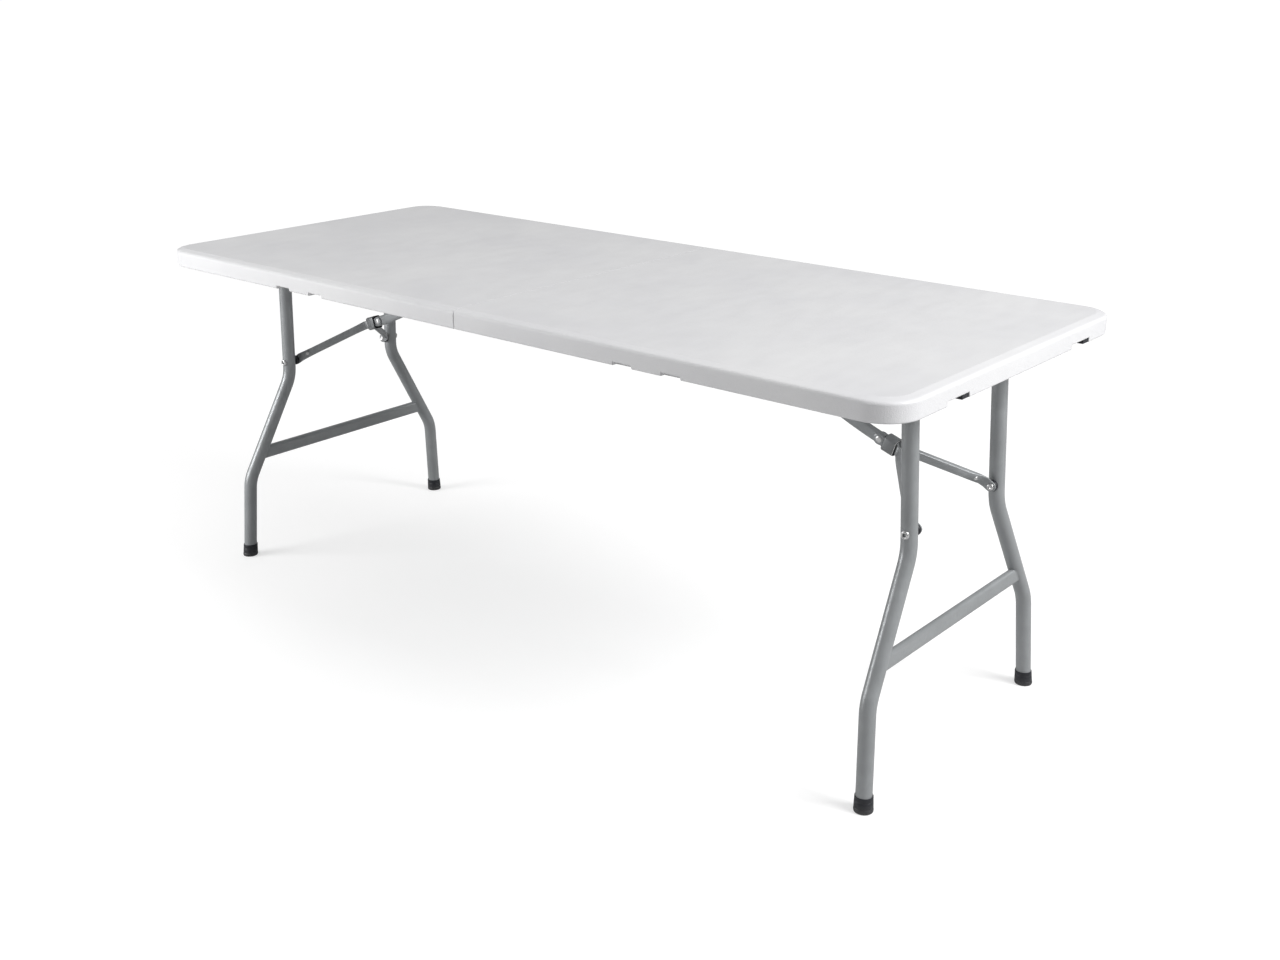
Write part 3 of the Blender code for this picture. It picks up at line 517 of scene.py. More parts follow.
# %% Tray and cups
CUP_PITCH = 0.062
CUP_SIZE = 0.017
CUP_RINGS = ((0.0016, 0.0012), (0.0026, 0.0036))  # inset and rise: first its round lip, then its wall
TRAY_DRAFT = (0.991, 0.989, 1, 1)  # how much smaller the ceiling is than the mouth, in length and width
FIRST_CUT = 0.012


def hollow_out(bm):
    """Inset the rim, and raise the rest of the lower face. Returns the tray's ceiling."""
    bm.normal_update()
    lower = flat_faces(bm, RIM_Z, -1)[0]
    bmesh.ops.inset_region(bm, faces=[lower], thickness=RIM_WIDTH, use_even_offset=True)
    at_seam = [v for v in lower.verts if abs(v.co.x - SEAM_HALF_GAP - RIM_WIDTH) < 1e-5]
    bmesh.ops.translate(bm, verts=at_seam, vec=(SEAM_RIM - RIM_WIDTH, 0, 0))
    extruded = bmesh.ops.extrude_face_region(bm, geom=[lower])["geom"]
    ceiling = only(bmesh.types.BMFace, extruded)[0]
    bmesh.ops.delete(bm, geom=[lower], context="FACES_ONLY")
    middle = Vector(((panel_high.x + SEAM_RIM) / 2, 0, 0))
    bmesh.ops.translate(bm, verts=ceiling.verts[:], vec=(0, 0, CEILING_Z - RIM_Z))
    draft = Matrix.Translation(middle) @ Matrix.Diagonal(TRAY_DRAFT) @ Matrix.Translation(-middle)
    bmesh.ops.transform(bm, matrix=draft, verts=ceiling.verts[:])
    return ceiling


def cut_squares(bm, ceiling):
    """Cut the ceiling into squares, and return those that lie clear of its outline."""
    faces = {ceiling}
    low_x = min(v.co.x for v in ceiling.verts)
    columns = int((panel_high.x - RIM_WIDTH - low_x) / CUP_PITCH)
    rows = int((WIDTH - 2 * RIM_WIDTH) / CUP_PITCH)
    cuts = [((low_x + FIRST_CUT + i * CUP_PITCH, 0, 0), X_AXIS) for i in range(columns + 1)]
    cuts += [((0, (j - rows / 2) * CUP_PITCH, 0), Y_AXIS) for j in range(rows + 1)]
    for point, normal in cuts:
        geometry = list({v for f in faces for v in f.verts} | {e for f in faces for e in f.edges} | faces)
        bmesh.ops.bisect_plane(bm, geom=geometry, plane_co=point, plane_no=normal)
        faces = {f for f in bm.faces if abs(f.calc_center_median().z - CEILING_Z) < 1e-5}
    area = CUP_PITCH ** 2
    return [f for f in faces if len(f.verts) == 4 and abs(f.calc_area() - area) < area * 0.02]


def press_cups(bm, squares):
    """Inset each square to a small patch, round it, and push it up."""
    bmesh.ops.inset_individual(bm, faces=squares, thickness=(CUP_PITCH - CUP_SIZE) / 2,
                               use_even_offset=True)
    corners = list({v for f in squares for v in f.verts})
    centres = {(round(c.x, 3), round(c.y, 3)) for c in (f.calc_center_median() for f in squares)}
    bmesh.ops.bevel(bm, geom=corners, offset=CUP_SIZE * 0.36, segments=3, profile=0.5, affect="VERTICES",
                    material=-1)
    patches = [f for f in bm.faces if len(f.verts) >= 12 and f.calc_area() < CUP_SIZE ** 2
               and (round(f.calc_center_bounds().x, 3), round(f.calc_center_bounds().y, 3)) in centres
               and abs(f.calc_center_bounds().z - CEILING_Z) < 1e-5]
    for inset, rise in CUP_RINGS:
        bmesh.ops.inset_individual(bm, faces=patches, thickness=inset, use_even_offset=True)
        verts = list({v for f in patches for v in f.verts})
        bmesh.ops.translate(bm, verts=verts, vec=(0, 0, rise))
    return len(patches)


squares_to_press = cut_squares(half_top, hollow_out(half_top))
print("cups pressed into each half:", press_cups(half_top, squares_to_press))

# %% [markdown]
# ### Notches in the rim
#
# The foot of the rim has shallow notches: a pair for the carry handle in each long side, and one for each
# latch in the short end. Each is cut out with `bisect_plane` across the rim, twice at each end, so that the
# step between has a moulded slope, and then its floor is moved up.

# %% Notches
HANDLE_NOTCHES = [handle_axis.x + step * 0.051 for step in (-1, 1)]
HANDLE_NOTCH_HALF, HANDLE_NOTCH_DEPTH = 0.021, 0.0055
LATCH_NOTCHES = (-0.203, 0.2255)
LATCH_NOTCH_HALF, LATCH_NOTCH_DEPTH = 0.034, 0.0080
NOTCH_SLOPE = 0.0012
RIM_FOOT_RADIUS = 0.0028
RIM_SIDE = RIM_WIDTH + 0.002  # anything this close to the outline belongs to the rim


def raise_notch(bm, middle, half, axis, depth, inside):
    """Raise the rim's foot between two planes. inside says which vertices are on that side's rim."""
    for offset in (-half, -half + NOTCH_SLOPE, half - NOTCH_SLOPE, half):
        near_rim = [f for f in bm.faces if f.calc_center_median().z < CEILING_Z - 0.001
                    or f.calc_center_median().z > HEIGHT - 0.012]
        chosen = [f for f in near_rim if any(inside(v.co) for v in f.verts)]
        geometry = list({v for f in chosen for v in f.verts} | {e for f in chosen for e in f.edges}
                        | set(chosen))
        bmesh.ops.bisect_plane(bm, geom=geometry, plane_co=axis * (middle + offset), plane_no=axis)
    reach = half - NOTCH_SLOPE + 1e-5
    foot = [v for v in bm.verts if inside(v.co) and v.co.z < RIM_Z + 0.0045
            and abs(v.co.dot(axis) - middle) < reach]
    bmesh.ops.translate(bm, verts=foot, vec=(0, 0, depth))


def soften_rim_foot(bm):
    """Round the foot of the rim, inside and out."""
    edges = [e for e in bm.edges if all(abs(v.co.z - RIM_Z) < 1e-6 for v in e.verts)
             and any(abs(f.normal.z) < 0.5 for f in e.link_faces)]
    bmesh.ops.bevel(bm, geom=edges, offset=RIM_FOOT_RADIUS, segments=3, profile=0.5, affect="EDGES",
                    material=-1)


half_top.normal_update()
soften_rim_foot(half_top)
for side in SIDES.values():
    for middle in HANDLE_NOTCHES:
        raise_notch(half_top, middle, HANDLE_NOTCH_HALF, X_AXIS, HANDLE_NOTCH_DEPTH,
                    lambda co, side=side: co.y * side > WIDTH / 2 - RIM_SIDE)
for middle in LATCH_NOTCHES:
    raise_notch(half_top, middle, LATCH_NOTCH_HALF, Y_AXIS, LATCH_NOTCH_DEPTH,
                lambda co: co.x > LENGTH / 2 - RIM_SIDE)
print("the half top has", len(half_top.faces), "faces with its notches")

# %% [markdown]
# ### The two halves in place
#
# The seam's upright edges on the walls are eased with a small bevel, where a dark line shows on the real
# table. The left half is a copy turned by 180 degrees about the vertical, which keeps its faces outwards. A
# Weighted Normal modifier lets the large flat faces decide the shading round them, so that the many small
# faces at the border leave no streaks on the top.


# %% Ease the seam and place both halves
def ease_seam(bm):
    """Bevel the upright edges of the seam, and return how many edges lie round it."""
    def on_seam(edge):
        return all(abs(v.co.x - SEAM_HALF_GAP) < 1e-6 for v in edge.verts)

    def is_wall(edge):
        return abs((edge.verts[0].co - edge.verts[1].co).normalized().z) > 0.9

    rim = [e for e in bm.edges if on_seam(e) and len(e.link_faces) == 2
           and any(abs(f.normal.x) < 0.5 for f in e.link_faces)]
    bmesh.ops.bevel(bm, geom=[e for e in rim if is_wall(e)], offset=0.0016, segments=2, profile=0.5,
                    affect="EDGES", material=-1)
    return len(rim)


half_top.normal_update()
print("edges round the seam:", ease_seam(half_top))
left_half = half_top.copy()
bmesh.ops.rotate(left_half, verts=left_half.verts, cent=(0, 0, 0), matrix=Matrix.Rotation(math.pi, 3, "Z"))
for end_name, bm in (("right", half_top), ("left", left_half)):
    half = finish_piece(f"top_half_{end_name}", bm, TOP_BODY[end_name], white_plastic,
                        [f"panel_{end_name}"], sharp=35.0)
    even = half.modifiers.new("even_shading", "WEIGHTED_NORMAL")
    even.keep_sharp = True
    print(half.name, "has", len(half.data.polygons), "faces")

# %% [markdown]
# ## Leg tubes
#
# Each leg is one tube: straight down from the pivot tube, spread by two bends, and almost straight again
# into its foot. The leg frame leans outwards, so the path is laid out in that leaning plane. At its top the
# tube is flared a little, as the weld bead that joins it to the pivot tube: the ring is pulled down in short
# steps and shrunk a little at each.


# %% Legs
WELD_BEAD = 0.0009
BEAD_STEPS = ((0.0026, 0.985), (0.0020, 0.965), (0.0012, 0.985))  # length of each step, and its shrink
TUBE_END_Z = 0.0065  # the tube stops inside its foot cap


def leg_point(y, z):
    """A point in the leaning plane of the right leg frame."""
    return Vector((leg_pivot.x + (leg_pivot.z - z) * LEAN, y, z))


def make_leg():
    bm = bmesh.new()
    corners = [leg_point(LEG_TOP_Y, leg_pivot.z - PIVOT_RADIUS + 0.004), leg_point(LEG_TOP_Y, UPPER_BEND_Z),
               leg_point(LEG_SPREAD_Y, LOWER_BEND_Z), leg_point(LEG_FLOOR_Y, TUBE_END_Z)]
    down = (corners[1] - corners[0]).normalized()
    ring = round_ring(bm, LEG_RADIUS + WELD_BEAD, 48, facing(corners[0], down, Y_AXIS))
    for drop, shrink in BEAD_STEPS:
        corners[0] = corners[0] + down * drop
        ring = pull(bm, ring, Matrix.Translation(down * drop))
        bmesh.ops.transform(bm, matrix=grow_about(corners[0], shrink), verts=verts_of(ring))
    radius_now = max((v.co - corners[0]).length for v in verts_of(ring))
    bmesh.ops.transform(bm, matrix=grow_about(corners[0], LEG_RADIUS / radius_now), verts=verts_of(ring))
    ring = run_along(bm, ring, corners, LEG_BEND_RADIUS, 14)
    close_ring(bm, ring)
    return bm


leg = make_leg()
for end_name, end in ENDS.items():
    for side_name, side in SIDES.items():
        finish_piece(f"leg_tube_{end_name}_{side_name}", mirrored(leg, end, side), f"{end_name}_leg_frame",
                     grey_paint, [f"leg_{end_name}_{side_name}"])
print("a leg tube has", len(leg.faces), "faces")
leg.free()

# %% [markdown]
# ## Pivot tubes
#
# A pivot tube runs across the top of each leg frame, and turns in two moulded blocks. It is open at both
# ends. Rather than give the whole tube a wall, its end faces are inset and pushed in, which is all that a
# mouth shows.

# %% Pivot tube
PIVOT_WALL, PIVOT_LIP, PIVOT_MOUTH = 0.0015, 0.00005, 0.03


def make_pivot_tube():
    bm = bmesh.new()
    low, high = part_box("pivot_tube_right")
    start, end = Vector((leg_pivot.x, low.y, leg_pivot.z)), Vector((leg_pivot.x, high.y, leg_pivot.z))
    ring = round_ring(bm, PIVOT_RADIUS, 40, facing(start, Y_AXIS, Z_AXIS))
    mouths = [(close_ring(bm, ring)[0], 1)]
    ring = pull(bm, ring, Matrix.Translation(end - start))
    mouths.append((close_ring(bm, ring)[0], -1))
    for face, inward in mouths:
        for thickness in (PIVOT_WALL, PIVOT_LIP):
            bmesh.ops.inset_region(bm, faces=[face], thickness=thickness)
        bmesh.ops.translate(bm, verts=face.verts[:], vec=(0, inward * PIVOT_MOUTH, 0))
    return bm


pivot_tube = make_pivot_tube()
print("a pivot tube has", len(pivot_tube.faces), "faces")


# %% [markdown]
# ## Crossbars
#
# The crossbar is a flat oval: a rounded rectangle whose corner radius is half its thickness. It is drawn from
# the middle to the far leg, where it is skewed to the leg's slope and flared as a weld bead. The other half
# is its mirror image, and the two meet when doubles are merged.

# %% Crossbar
BEAD_FLARES = ((0.0042, 1.0), (0.0020, 1.05), (0.0, 1.17))  # distance before the leg, and size there
BEAD_OVERLAP = 0.0035  # how far the bar's end reaches into the leg's round side


def make_crossbar():
    bm = bmesh.new()
    share = (UPPER_BEND_Z - CROSSBAR_Z) / (UPPER_BEND_Z - LOWER_BEND_Z)
    slope = (LEG_SPREAD_Y - LEG_TOP_Y) / (UPPER_BEND_Z - LOWER_BEND_Z)
    reach = LEG_TOP_Y + share * (LEG_SPREAD_Y - LEG_TOP_Y)
    upright = Vector((-LEAN, 0, 1)).normalized()
    centre = leg_point(0, CROSSBAR_Z)
    ring = box_ring(bm, CROSSBAR_THICK, CROSSBAR_TALL, CROSSBAR_THICK * 0.499,
                    facing(centre, Y_AXIS, upright), 10)
    skew = Matrix.Identity(4)
    skew[1][2] = -slope
    along_leg = Matrix.Translation(centre) @ skew @ Matrix.Translation(-centre)
    gap = LEG_RADIUS * math.sqrt(1 + slope ** 2) - BEAD_OVERLAP
    before = 0.0
    for short_of, flare in BEAD_FLARES:
        stop = reach - gap - short_of
        ring = pull(bm, ring, Matrix.Translation((0, stop - before, 0)))
        verts = verts_of(ring)
        if before == 0.0:  # only the first ring still has to be skewed to the leg's slope
            bmesh.ops.transform(bm, matrix=along_leg, verts=verts)
        bmesh.ops.transform(bm, matrix=grow_about(centre + Y_AXIS * stop, flare), verts=verts)
        before = stop
    other = bm.copy()
    bmesh.ops.transform(other, matrix=Matrix.Diagonal((1, -1, 1, 1)), verts=other.verts)
    half = bpy.data.meshes.new("crossbar_half")
    other.to_mesh(half)
    other.free()
    bm.from_mesh(half)
    bpy.data.meshes.remove(half)
    return bm


crossbar = make_crossbar()
for end_name, end in ENDS.items():
    for label, bm, node in (("top_tube", pivot_tube, "pivot_tube"), ("cross_tube", crossbar, "crossbar")):
        finish_piece(f"{label}_{end_name}", mirrored(bm, end), f"{end_name}_leg_frame", grey_paint,
                     [f"{node}_{end_name}"])
print("a crossbar has", len(crossbar.faces), "faces")
pivot_tube.free()
crossbar.free()

# %% [markdown]
# ## Feet
#
# A foot cap is moulded in soft black plastic. It is turned as an upright cap, with two grip lines and a
# rounded sole, and then sheared, so that it follows the leg's lean while its sole stays flat on the floor.


# %% Feet
GRIP_LINES = (0.0085, 0.0205)
SOLE_THICK = 0.012
SHEAR_Z = 0.004  # the height at which the cap's middle stays on the leg's own line


def make_foot():
    bm = bmesh.new()
    tall = foot_high.z
    flare, neck, bore = 0.0170, 0.01595, LEG_RADIUS + 0.0002
    profile = [(0, 0), (flare - 0.0035, 0), (flare - 0.0006, 0.0011), (flare, 0.0035),
               (flare - 0.00015, 0.0060)]
    for groove in GRIP_LINES:
        here = flare + (neck - flare) * groove / tall
        profile += [(here, groove - 0.0009), (here - 0.0006, groove), (here - 0.0001, groove + 0.0009)]
    profile += [(neck, tall - 0.0012), (neck - 0.0004, tall - 0.0002), (bore + 0.0006, tall),
                (bore, tall - 0.0008), (bore, SOLE_THICK), (0, SOLE_THICK)]
    lathe(bm, profile, (0, 0, 0), Z_AXIS)
    slope = (LEG_SPREAD_Y - LEG_FLOOR_Y) / (LOWER_BEND_Z - SHEAR_Z)
    shear = Matrix.Translation(leg_point(LEG_FLOOR_Y - slope * SHEAR_Z, 0.0))
    shear[0][2], shear[1][2] = -LEAN, slope
    bmesh.ops.transform(bm, matrix=shear, verts=bm.verts)
    return bm


foot = make_foot()
for end_name, end in ENDS.items():
    for side_name, side in SIDES.items():
        finish_piece(f"foot_cap_{end_name}_{side_name}", mirrored(foot, end, side), f"{end_name}_leg_frame",
                     black_plastic, [f"foot_{end_name}_{side_name}"])
print("a foot cap has", len(foot.faces), "faces")
foot.free()

# %% [markdown]
# ## The folding brace: strut
#
# The strut is a flattened tube with a slow bend in it: one arc about the centre that the sleeve also slides
# about. So its ring is spun about that centre, step by step. Both ends are rounded by scaling the ring's
# height at the first and last few steps.

# %% Strut
STRUT_START, STRUT_STOP = 0.0085, 0.034  # how far the bar reaches past its bracket pin and past its rivet
END_HEIGHTS = (0.45, 0.72, 0.90, 1.0)
END_LENGTH = 0.0062
strut_radius = (strut_centre - brace_joint).length
strut_normal = (strut_centre - brace_joint).normalized()
strut_along = Y_AXIS.cross(strut_normal)
STRUT_REACH = strut_radius * (strut_root - strut_centre).angle(brace_joint - strut_centre)


def strut_line(distance):
    """A point on the strut's arc, at a distance past its riveted joint."""
    angle = distance / strut_radius
    return strut_centre + (strut_along * math.sin(angle) - strut_normal * math.cos(angle)) * strut_radius


def strut_heading(distance):
    """The direction of the arc there, towards the leg."""
    angle = distance / strut_radius
    return strut_along * math.cos(angle) + strut_normal * math.sin(angle)


def make_strut():
    bm = bmesh.new()
    here = -STRUT_REACH - STRUT_START
    heading = strut_heading(here)
    ring = box_ring(bm, STRUT_THICK, STRUT_TALL * END_HEIGHTS[0], 0.0035,
                    facing(strut_line(here), heading, heading.cross(Y_AXIS)), 5)
    close_ring(bm, ring)

    def advance(distance, factor, steps=1):
        """Swing the ring on along the arc, and scale its height by a factor."""
        nonlocal ring, here
        ring = swing(bm, ring, strut_centre, -Y_AXIS, distance / strut_radius, steps)
        here += distance
        taller = grow_about(strut_line(here), factor, strut_heading(here).cross(Y_AXIS))
        bmesh.ops.transform(bm, matrix=taller, verts=verts_of(ring))

    for before, after in zip(END_HEIGHTS, END_HEIGHTS[1:]):
        advance(0.0012 + 0.0012 * after, after / before)
    advance(STRUT_STOP - END_LENGTH - here, 1.0, 24)
    for before, after in zip(END_HEIGHTS[::-1], END_HEIGHTS[-2::-1]):
        advance(0.0012 + 0.0012 * before, after / before)
    close_ring(bm, ring)
    return bm


strut = make_strut()
for end_name, end in ENDS.items():
    finish_piece(f"brace_strut_{end_name}", mirrored(strut, end), f"{end_name}_brace_strut", grey_paint,
                 [f"strut_{end_name}"])
print("a strut has", len(strut.faces), "faces")
strut.free()


# %% [markdown]
# ## The folding brace: arms
#
# Each arm starts as a flat cheek beside the strut, fills out to a tube on its way to the leg, and is pressed
# flat again round the leg's rivet. That change of section is why the arm is a chain of stations: each one
# says where the ring is, which way it looks, and how thick and tall it is. The ring is pulled from one
# station to the next.

# %% Arms
ARM_FLAT, ARM_TALL = 0.0030, 0.0200
CHEEK_Y = STRUT_THICK / 2 + SMALL_GAP + ARM_FLAT / 2
CHEEK_END, CHEEK_LENGTH = 0.0114, 0.041  # how far the cheek reaches behind the joint rivet, and past it
TAB_END, TAB_START = 0.0096, 0.0130  # how far the tab reaches past the leg's rivet, and before it
TAB_BEND = 0.017
CHEEK_STATIONS = (0.008, 0.036)
# share of the way to the leg, thickness and height, for the first half of the arm's tube
TUBE_STATIONS = ((0.03, 0.0046, 0.0190), (0.07, 0.0088, 0.0178), (0.12, 0.0112, 0.0170),
                 (0.20, 0.0122, 0.0164))
arm_along = (bolt_point - brace_joint).normalized()
arm_start, arm_stop = strut_line(CHEEK_LENGTH), bolt_point - arm_along * TAB_BEND


def arm_point(share):
    """A point on the middle of the arm's tube, on its way out to the leg."""
    here = arm_start.lerp(arm_stop, share)
    return Vector((here.x, CHEEK_Y + (ARM_TAB_Y - CHEEK_Y) * share, here.z))


def make_arm():
    bm = bmesh.new()
    stations = []

    def station(point, y, thick, height, direction):
        place = facing(Vector((point.x, y, point.z)), direction, direction.cross(Y_AXIS))
        stations.append(place @ Matrix.Diagonal((thick / ARM_FLAT, height / ARM_TALL, 1, 1)))

    for degrees in range(15, 91, 15):
        a = math.radians(degrees)
        station(strut_line(-CHEEK_END * math.cos(a)), CHEEK_Y, ARM_FLAT, ARM_TALL * math.sin(a), strut_along)
    for distance in CHEEK_STATIONS:
        station(strut_line(distance), CHEEK_Y, ARM_FLAT, ARM_TALL * 0.9, strut_heading(distance))
    second_half = tuple((1 - share, thick, height) for share, thick, height in reversed(TUBE_STATIONS))
    for share, thick, height in TUBE_STATIONS + second_half:
        point = arm_point(share)
        station(point, point.y, thick, height, arm_along)
    station(bolt_point - arm_along * TAB_START, ARM_TAB_Y, ARM_FLAT, ARM_TALL, arm_along)
    for degrees in range(90, 14, -15):
        a = math.radians(degrees)
        station(bolt_point + arm_along * TAB_END * math.cos(a), ARM_TAB_Y, ARM_FLAT, ARM_TALL * math.sin(a),
                arm_along)
    ring = box_ring(bm, ARM_FLAT, ARM_TALL, 0.0011, stations[0], 3)
    close_ring(bm, ring)
    for here, there in zip(stations, stations[1:]):
        ring = pull(bm, ring, there @ here.inverted())
    close_ring(bm, ring)
    return bm


arm = make_arm()
for end_name, end in ENDS.items():
    for side_name, side in SIDES.items():
        finish_piece(f"brace_arm_{end_name}_{side_name}", mirrored(arm, end, side), f"{end_name}_brace_arms",
                     grey_paint, [f"arm_{end_name}_{side_name}"])
print("an arm has", len(arm.faces), "faces")
arm.free()

# %% [markdown]
# ## Lock sleeve
#
# A pressed sleeve slides over the joint and keeps the brace straight. Its wall comes from a Solidify
# modifier, which keeps the thickness even round the corners. A black liner shows at both mouths as painted
# shadow, for the shade in the gap between sleeve and strut, and a bright zinc band round the outer edge is a
# painted highlight on that edge. The three parts are the same ring, pulled to other lengths and inset by a
# little.

# %% Sleeve, with a painted shadow liner and a painted highlight band
SLEEVE_START, SLEEVE_LENGTH = 0.010, 0.026
SLEEVE_WIDE, SLEEVE_TALL, SLEEVE_CORNER = 0.0248, 0.0296, 0.0060
# the black liner, and its lip that shows at each mouth, are painted shadow for the shade round the strut
SHELL_WALL, SHADOW_LINER_WALL, SHADOW_LIP = 0.0008, 0.0006, 0.0012
# the width of the zinc band at the sleeve's outer edge, a painted highlight on that edge
HIGHLIGHT_BAND = 0.0008


def make_sleeve(inset, start, length):
    """An open ring round the strut, set in from the sleeve's outside, from start on for a length."""
    bm = bmesh.new()
    heading = strut_heading(SLEEVE_START + SLEEVE_LENGTH / 2)
    middle = strut_line(SLEEVE_START + SLEEVE_LENGTH / 2) - heading * SLEEVE_LENGTH / 2
    place = facing(middle + heading * start, heading, heading.cross(Y_AXIS))
    ring = box_ring(bm, SLEEVE_WIDE - 2 * inset, SLEEVE_TALL - 2 * inset, SLEEVE_CORNER - inset, place, 6)
    pull(bm, ring, Matrix.Translation(heading * length))
    return bm


def give_wall(piece, thickness, edge):
    wall = piece.modifiers.new("wall", "SOLIDIFY")
    wall.thickness = thickness
    wall.offset = -1.0
    wall.use_even_offset = True
    ease = piece.modifiers.new("ease", "BEVEL")
    ease.width = edge
    ease.segments = 2
    ease.limit_method = "ANGLE"
    ease.angle_limit = math.radians(50)


# the zinc band is a painted highlight on the sleeve's edge, and the black liner is painted shadow at its mouths
SLEEVE_PARTS = [
    ("sleeve_shell", 0.0, SHADOW_LIP, SLEEVE_LENGTH - 2 * SHADOW_LIP - HIGHLIGHT_BAND, SHELL_WALL,
     sleeve_paint, "frame_paint"),
    ("sleeve_highlight_band", 0.0002, SLEEVE_LENGTH - SHADOW_LIP - HIGHLIGHT_BAND, 0.0010, SHELL_WALL,
     zinc, "zinc_steel"),
    ("sleeve_shadow_liner", SHELL_WALL + 0.0001, 0.0, SLEEVE_LENGTH, SHADOW_LINER_WALL,
     black_plastic, "black_plastic"),
]
for end_name, end in ENDS.items():
    for label, inset, start, length, wall, finish, slot in SLEEVE_PARTS:
        nodes = [f"lock_sleeve_{end_name}"] if label == "sleeve_shell" else []
        piece = finish_piece(f"{label}_{end_name}", mirrored(make_sleeve(inset, start, length), end),
                             f"{end_name}_lock_sleeve", finish, nodes)
        give_wall(piece, wall, 0.0002)
print("each sleeve is", SLEEVE_LENGTH * 1000, "mm long")

# %% [markdown]
# ## Leg rivets and spacers
#
# The leg rivets are wide tubular ones: a bright rolled rim round a dark hole. Each is turned from its
# profile, in two pieces, because the frame parts there: the shank stays with the leg, and the inner head
# with the arm. Between leg and arm sits a spacer, coloured black as painted shade for the shade that falls
# between leg and arm.

# %% Leg rivets and spacers
RIVET_RADIUS = 0.0040
OUTER_FACE = LEG_TOP_Y + LEG_RADIUS


def make_leg_rivet():
    bm = bmesh.new()
    top, head = bolt_high.y, (bolt_high.x - bolt_low.x) / 2
    profile = [(0, bolt_low.y), (RIVET_RADIUS, bolt_low.y), (RIVET_RADIUS, OUTER_FACE - 0.0020),
               (head - 0.0002, OUTER_FACE - 0.0012), (head, OUTER_FACE), (head - 0.0004, OUTER_FACE + 0.0010),
               (head - 0.0016, top - 0.0005), (head - 0.0028, top), (0.0044, top - 0.0001),
               (0.0036, top - 0.0006), (0.0031, top - 0.0018), (0.0030, OUTER_FACE - 0.0010),
               (0, OUTER_FACE - 0.0014)]
    lathe(bm, profile, (bolt_point.x, 0, bolt_point.z), Y_AXIS, 40)
    return bm


def make_inner_head():
    bm = bmesh.new()
    low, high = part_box("bolt_head_right_far")
    head, face = (high.x - low.x) / 2, ARM_TAB_Y - ARM_FLAT / 2 - SMALL_GAP
    profile = [(0, low.y + 0.0010), (0.0020, low.y + 0.0010), (0.0026, low.y + 0.0003), (0.0034, low.y),
               (0.0050, low.y + 0.0003), (head - 0.0006, face - 0.0012), (head, face - 0.0004), (head, face),
               (RIVET_RADIUS, face), (RIVET_RADIUS, high.y), (0, high.y)]
    lathe(bm, profile, (bolt_point.x, 0, bolt_point.z), Y_AXIS, 40)
    return bm


def make_shaded_spacer():
    bm = bmesh.new()
    low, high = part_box("spacer_right_far")
    outer, bore = (high.x - low.x) / 2, RIVET_RADIUS + 0.0004
    profile = [(bore, low.y), (outer - 0.001, low.y), (outer, low.y + 0.001), (outer, high.y - 0.001),
               (outer - 0.001, high.y), (bore, high.y), (bore, low.y)]
    lathe(bm, profile, (bolt_point.x, 0, bolt_point.z), Y_AXIS, 36)
    return bm


def place_in_corners(label, bm, body, finish, node=None):
    """Finish one copy of a right, far piece for each of the four corners."""
    for end_name, end in ENDS.items():
        for side_name, side in SIDES.items():
            corner = f"{end_name}_{side_name}"
            finish_piece(f"{label}_{corner}", mirrored(bm, end, side), body.format(end_name), finish,
                         [f"{node}_{corner}"] if node else [], sharp=50.0)
    print(label, "has", len(bm.faces), "faces")
    bm.free()


place_in_corners("leg_rivet", make_leg_rivet(), "{}_leg_frame", zinc, "bolt")
place_in_corners("rivet_inner_head", make_inner_head(), "{}_brace_arms", zinc, "bolt_head")
# the spacer's black is painted shade, for the shade between leg and arm
place_in_corners("leg_shade_spacer", make_shaded_spacer(), "{}_leg_frame", black_plastic, "spacer")


# %% [markdown]
# ## Rivets of the brace
#
# One rivet goes through the strut and both cheeks, with a low domed head on each side. Each arm also carries
# a small bright zinc dome where its tube is pinched on the way to the leg: a painted highlight, for the glint
# on the pinched tube. Both profiles start and end on the axis, so the spin closes them.


# %% Joint rivets, and the small zinc dome in each arm as a painted highlight
def make_joint_rivet():
    """The rivet through the strut and both cheeks, with a low domed head on each side."""
    bm = bmesh.new()
    face = CHEEK_Y + ARM_FLAT / 2 + 0.0001
    half = [(RIVET_RADIUS, face), (0.0060, face), (0.0062, face + 0.0003), (0.0056, face + 0.0008),
            (0.0040, face + 0.0012), (0.0020, face + 0.0013), (0, face + 0.0013)]
    profile = [(radius, -along) for radius, along in reversed(half)] + half
    lathe(bm, profile, (brace_joint.x, 0, brace_joint.z), Y_AXIS, 36)
    return bm


ARM_GLINT_SHARE = 0.90  # of the way from the strut to the leg


def make_arm_glint_rivet():
    """A small zinc dome square to the arm's run, with a head on each side: a painted highlight on the pinched
    tube.
    """
    bm = bmesh.new()
    ahead = (arm_point(1.0) - arm_point(0.0)).normalized()
    across = (Y_AXIS - ahead * ahead.y).normalized()
    profile = [(0, -0.0055), (0.0020, -0.0054), (0.0036, -0.0044), (0.0038, -0.0034), (0.0038, 0.0034),
               (0.0036, 0.0044), (0.0020, 0.0054), (0, 0.0055)]
    lathe(bm, profile, arm_point(ARM_GLINT_SHARE), across, 28)
    return bm


joint_rivet = make_joint_rivet()
for end_name, end in ENDS.items():
    finish_piece(f"joint_rivet_{end_name}", mirrored(joint_rivet, end), f"{end_name}_brace_strut", zinc,
                 [f"joint_pin_{end_name}"], sharp=50.0)
joint_rivet.free()
# the small zinc domes on the arms are a painted highlight, for the glint where the tube is pinched
place_in_corners("arm_glint_rivet", make_arm_glint_rivet(), "{}_brace_arms", zinc)

# %% [markdown]
# ## Screws under the top
#
# Rails, brackets and hinge leaves are held by pan-head screws. Only the heads can be seen, so only they are
# made: one small turned head with a round socket, copied to every hole of a fitting and kept as one piece.

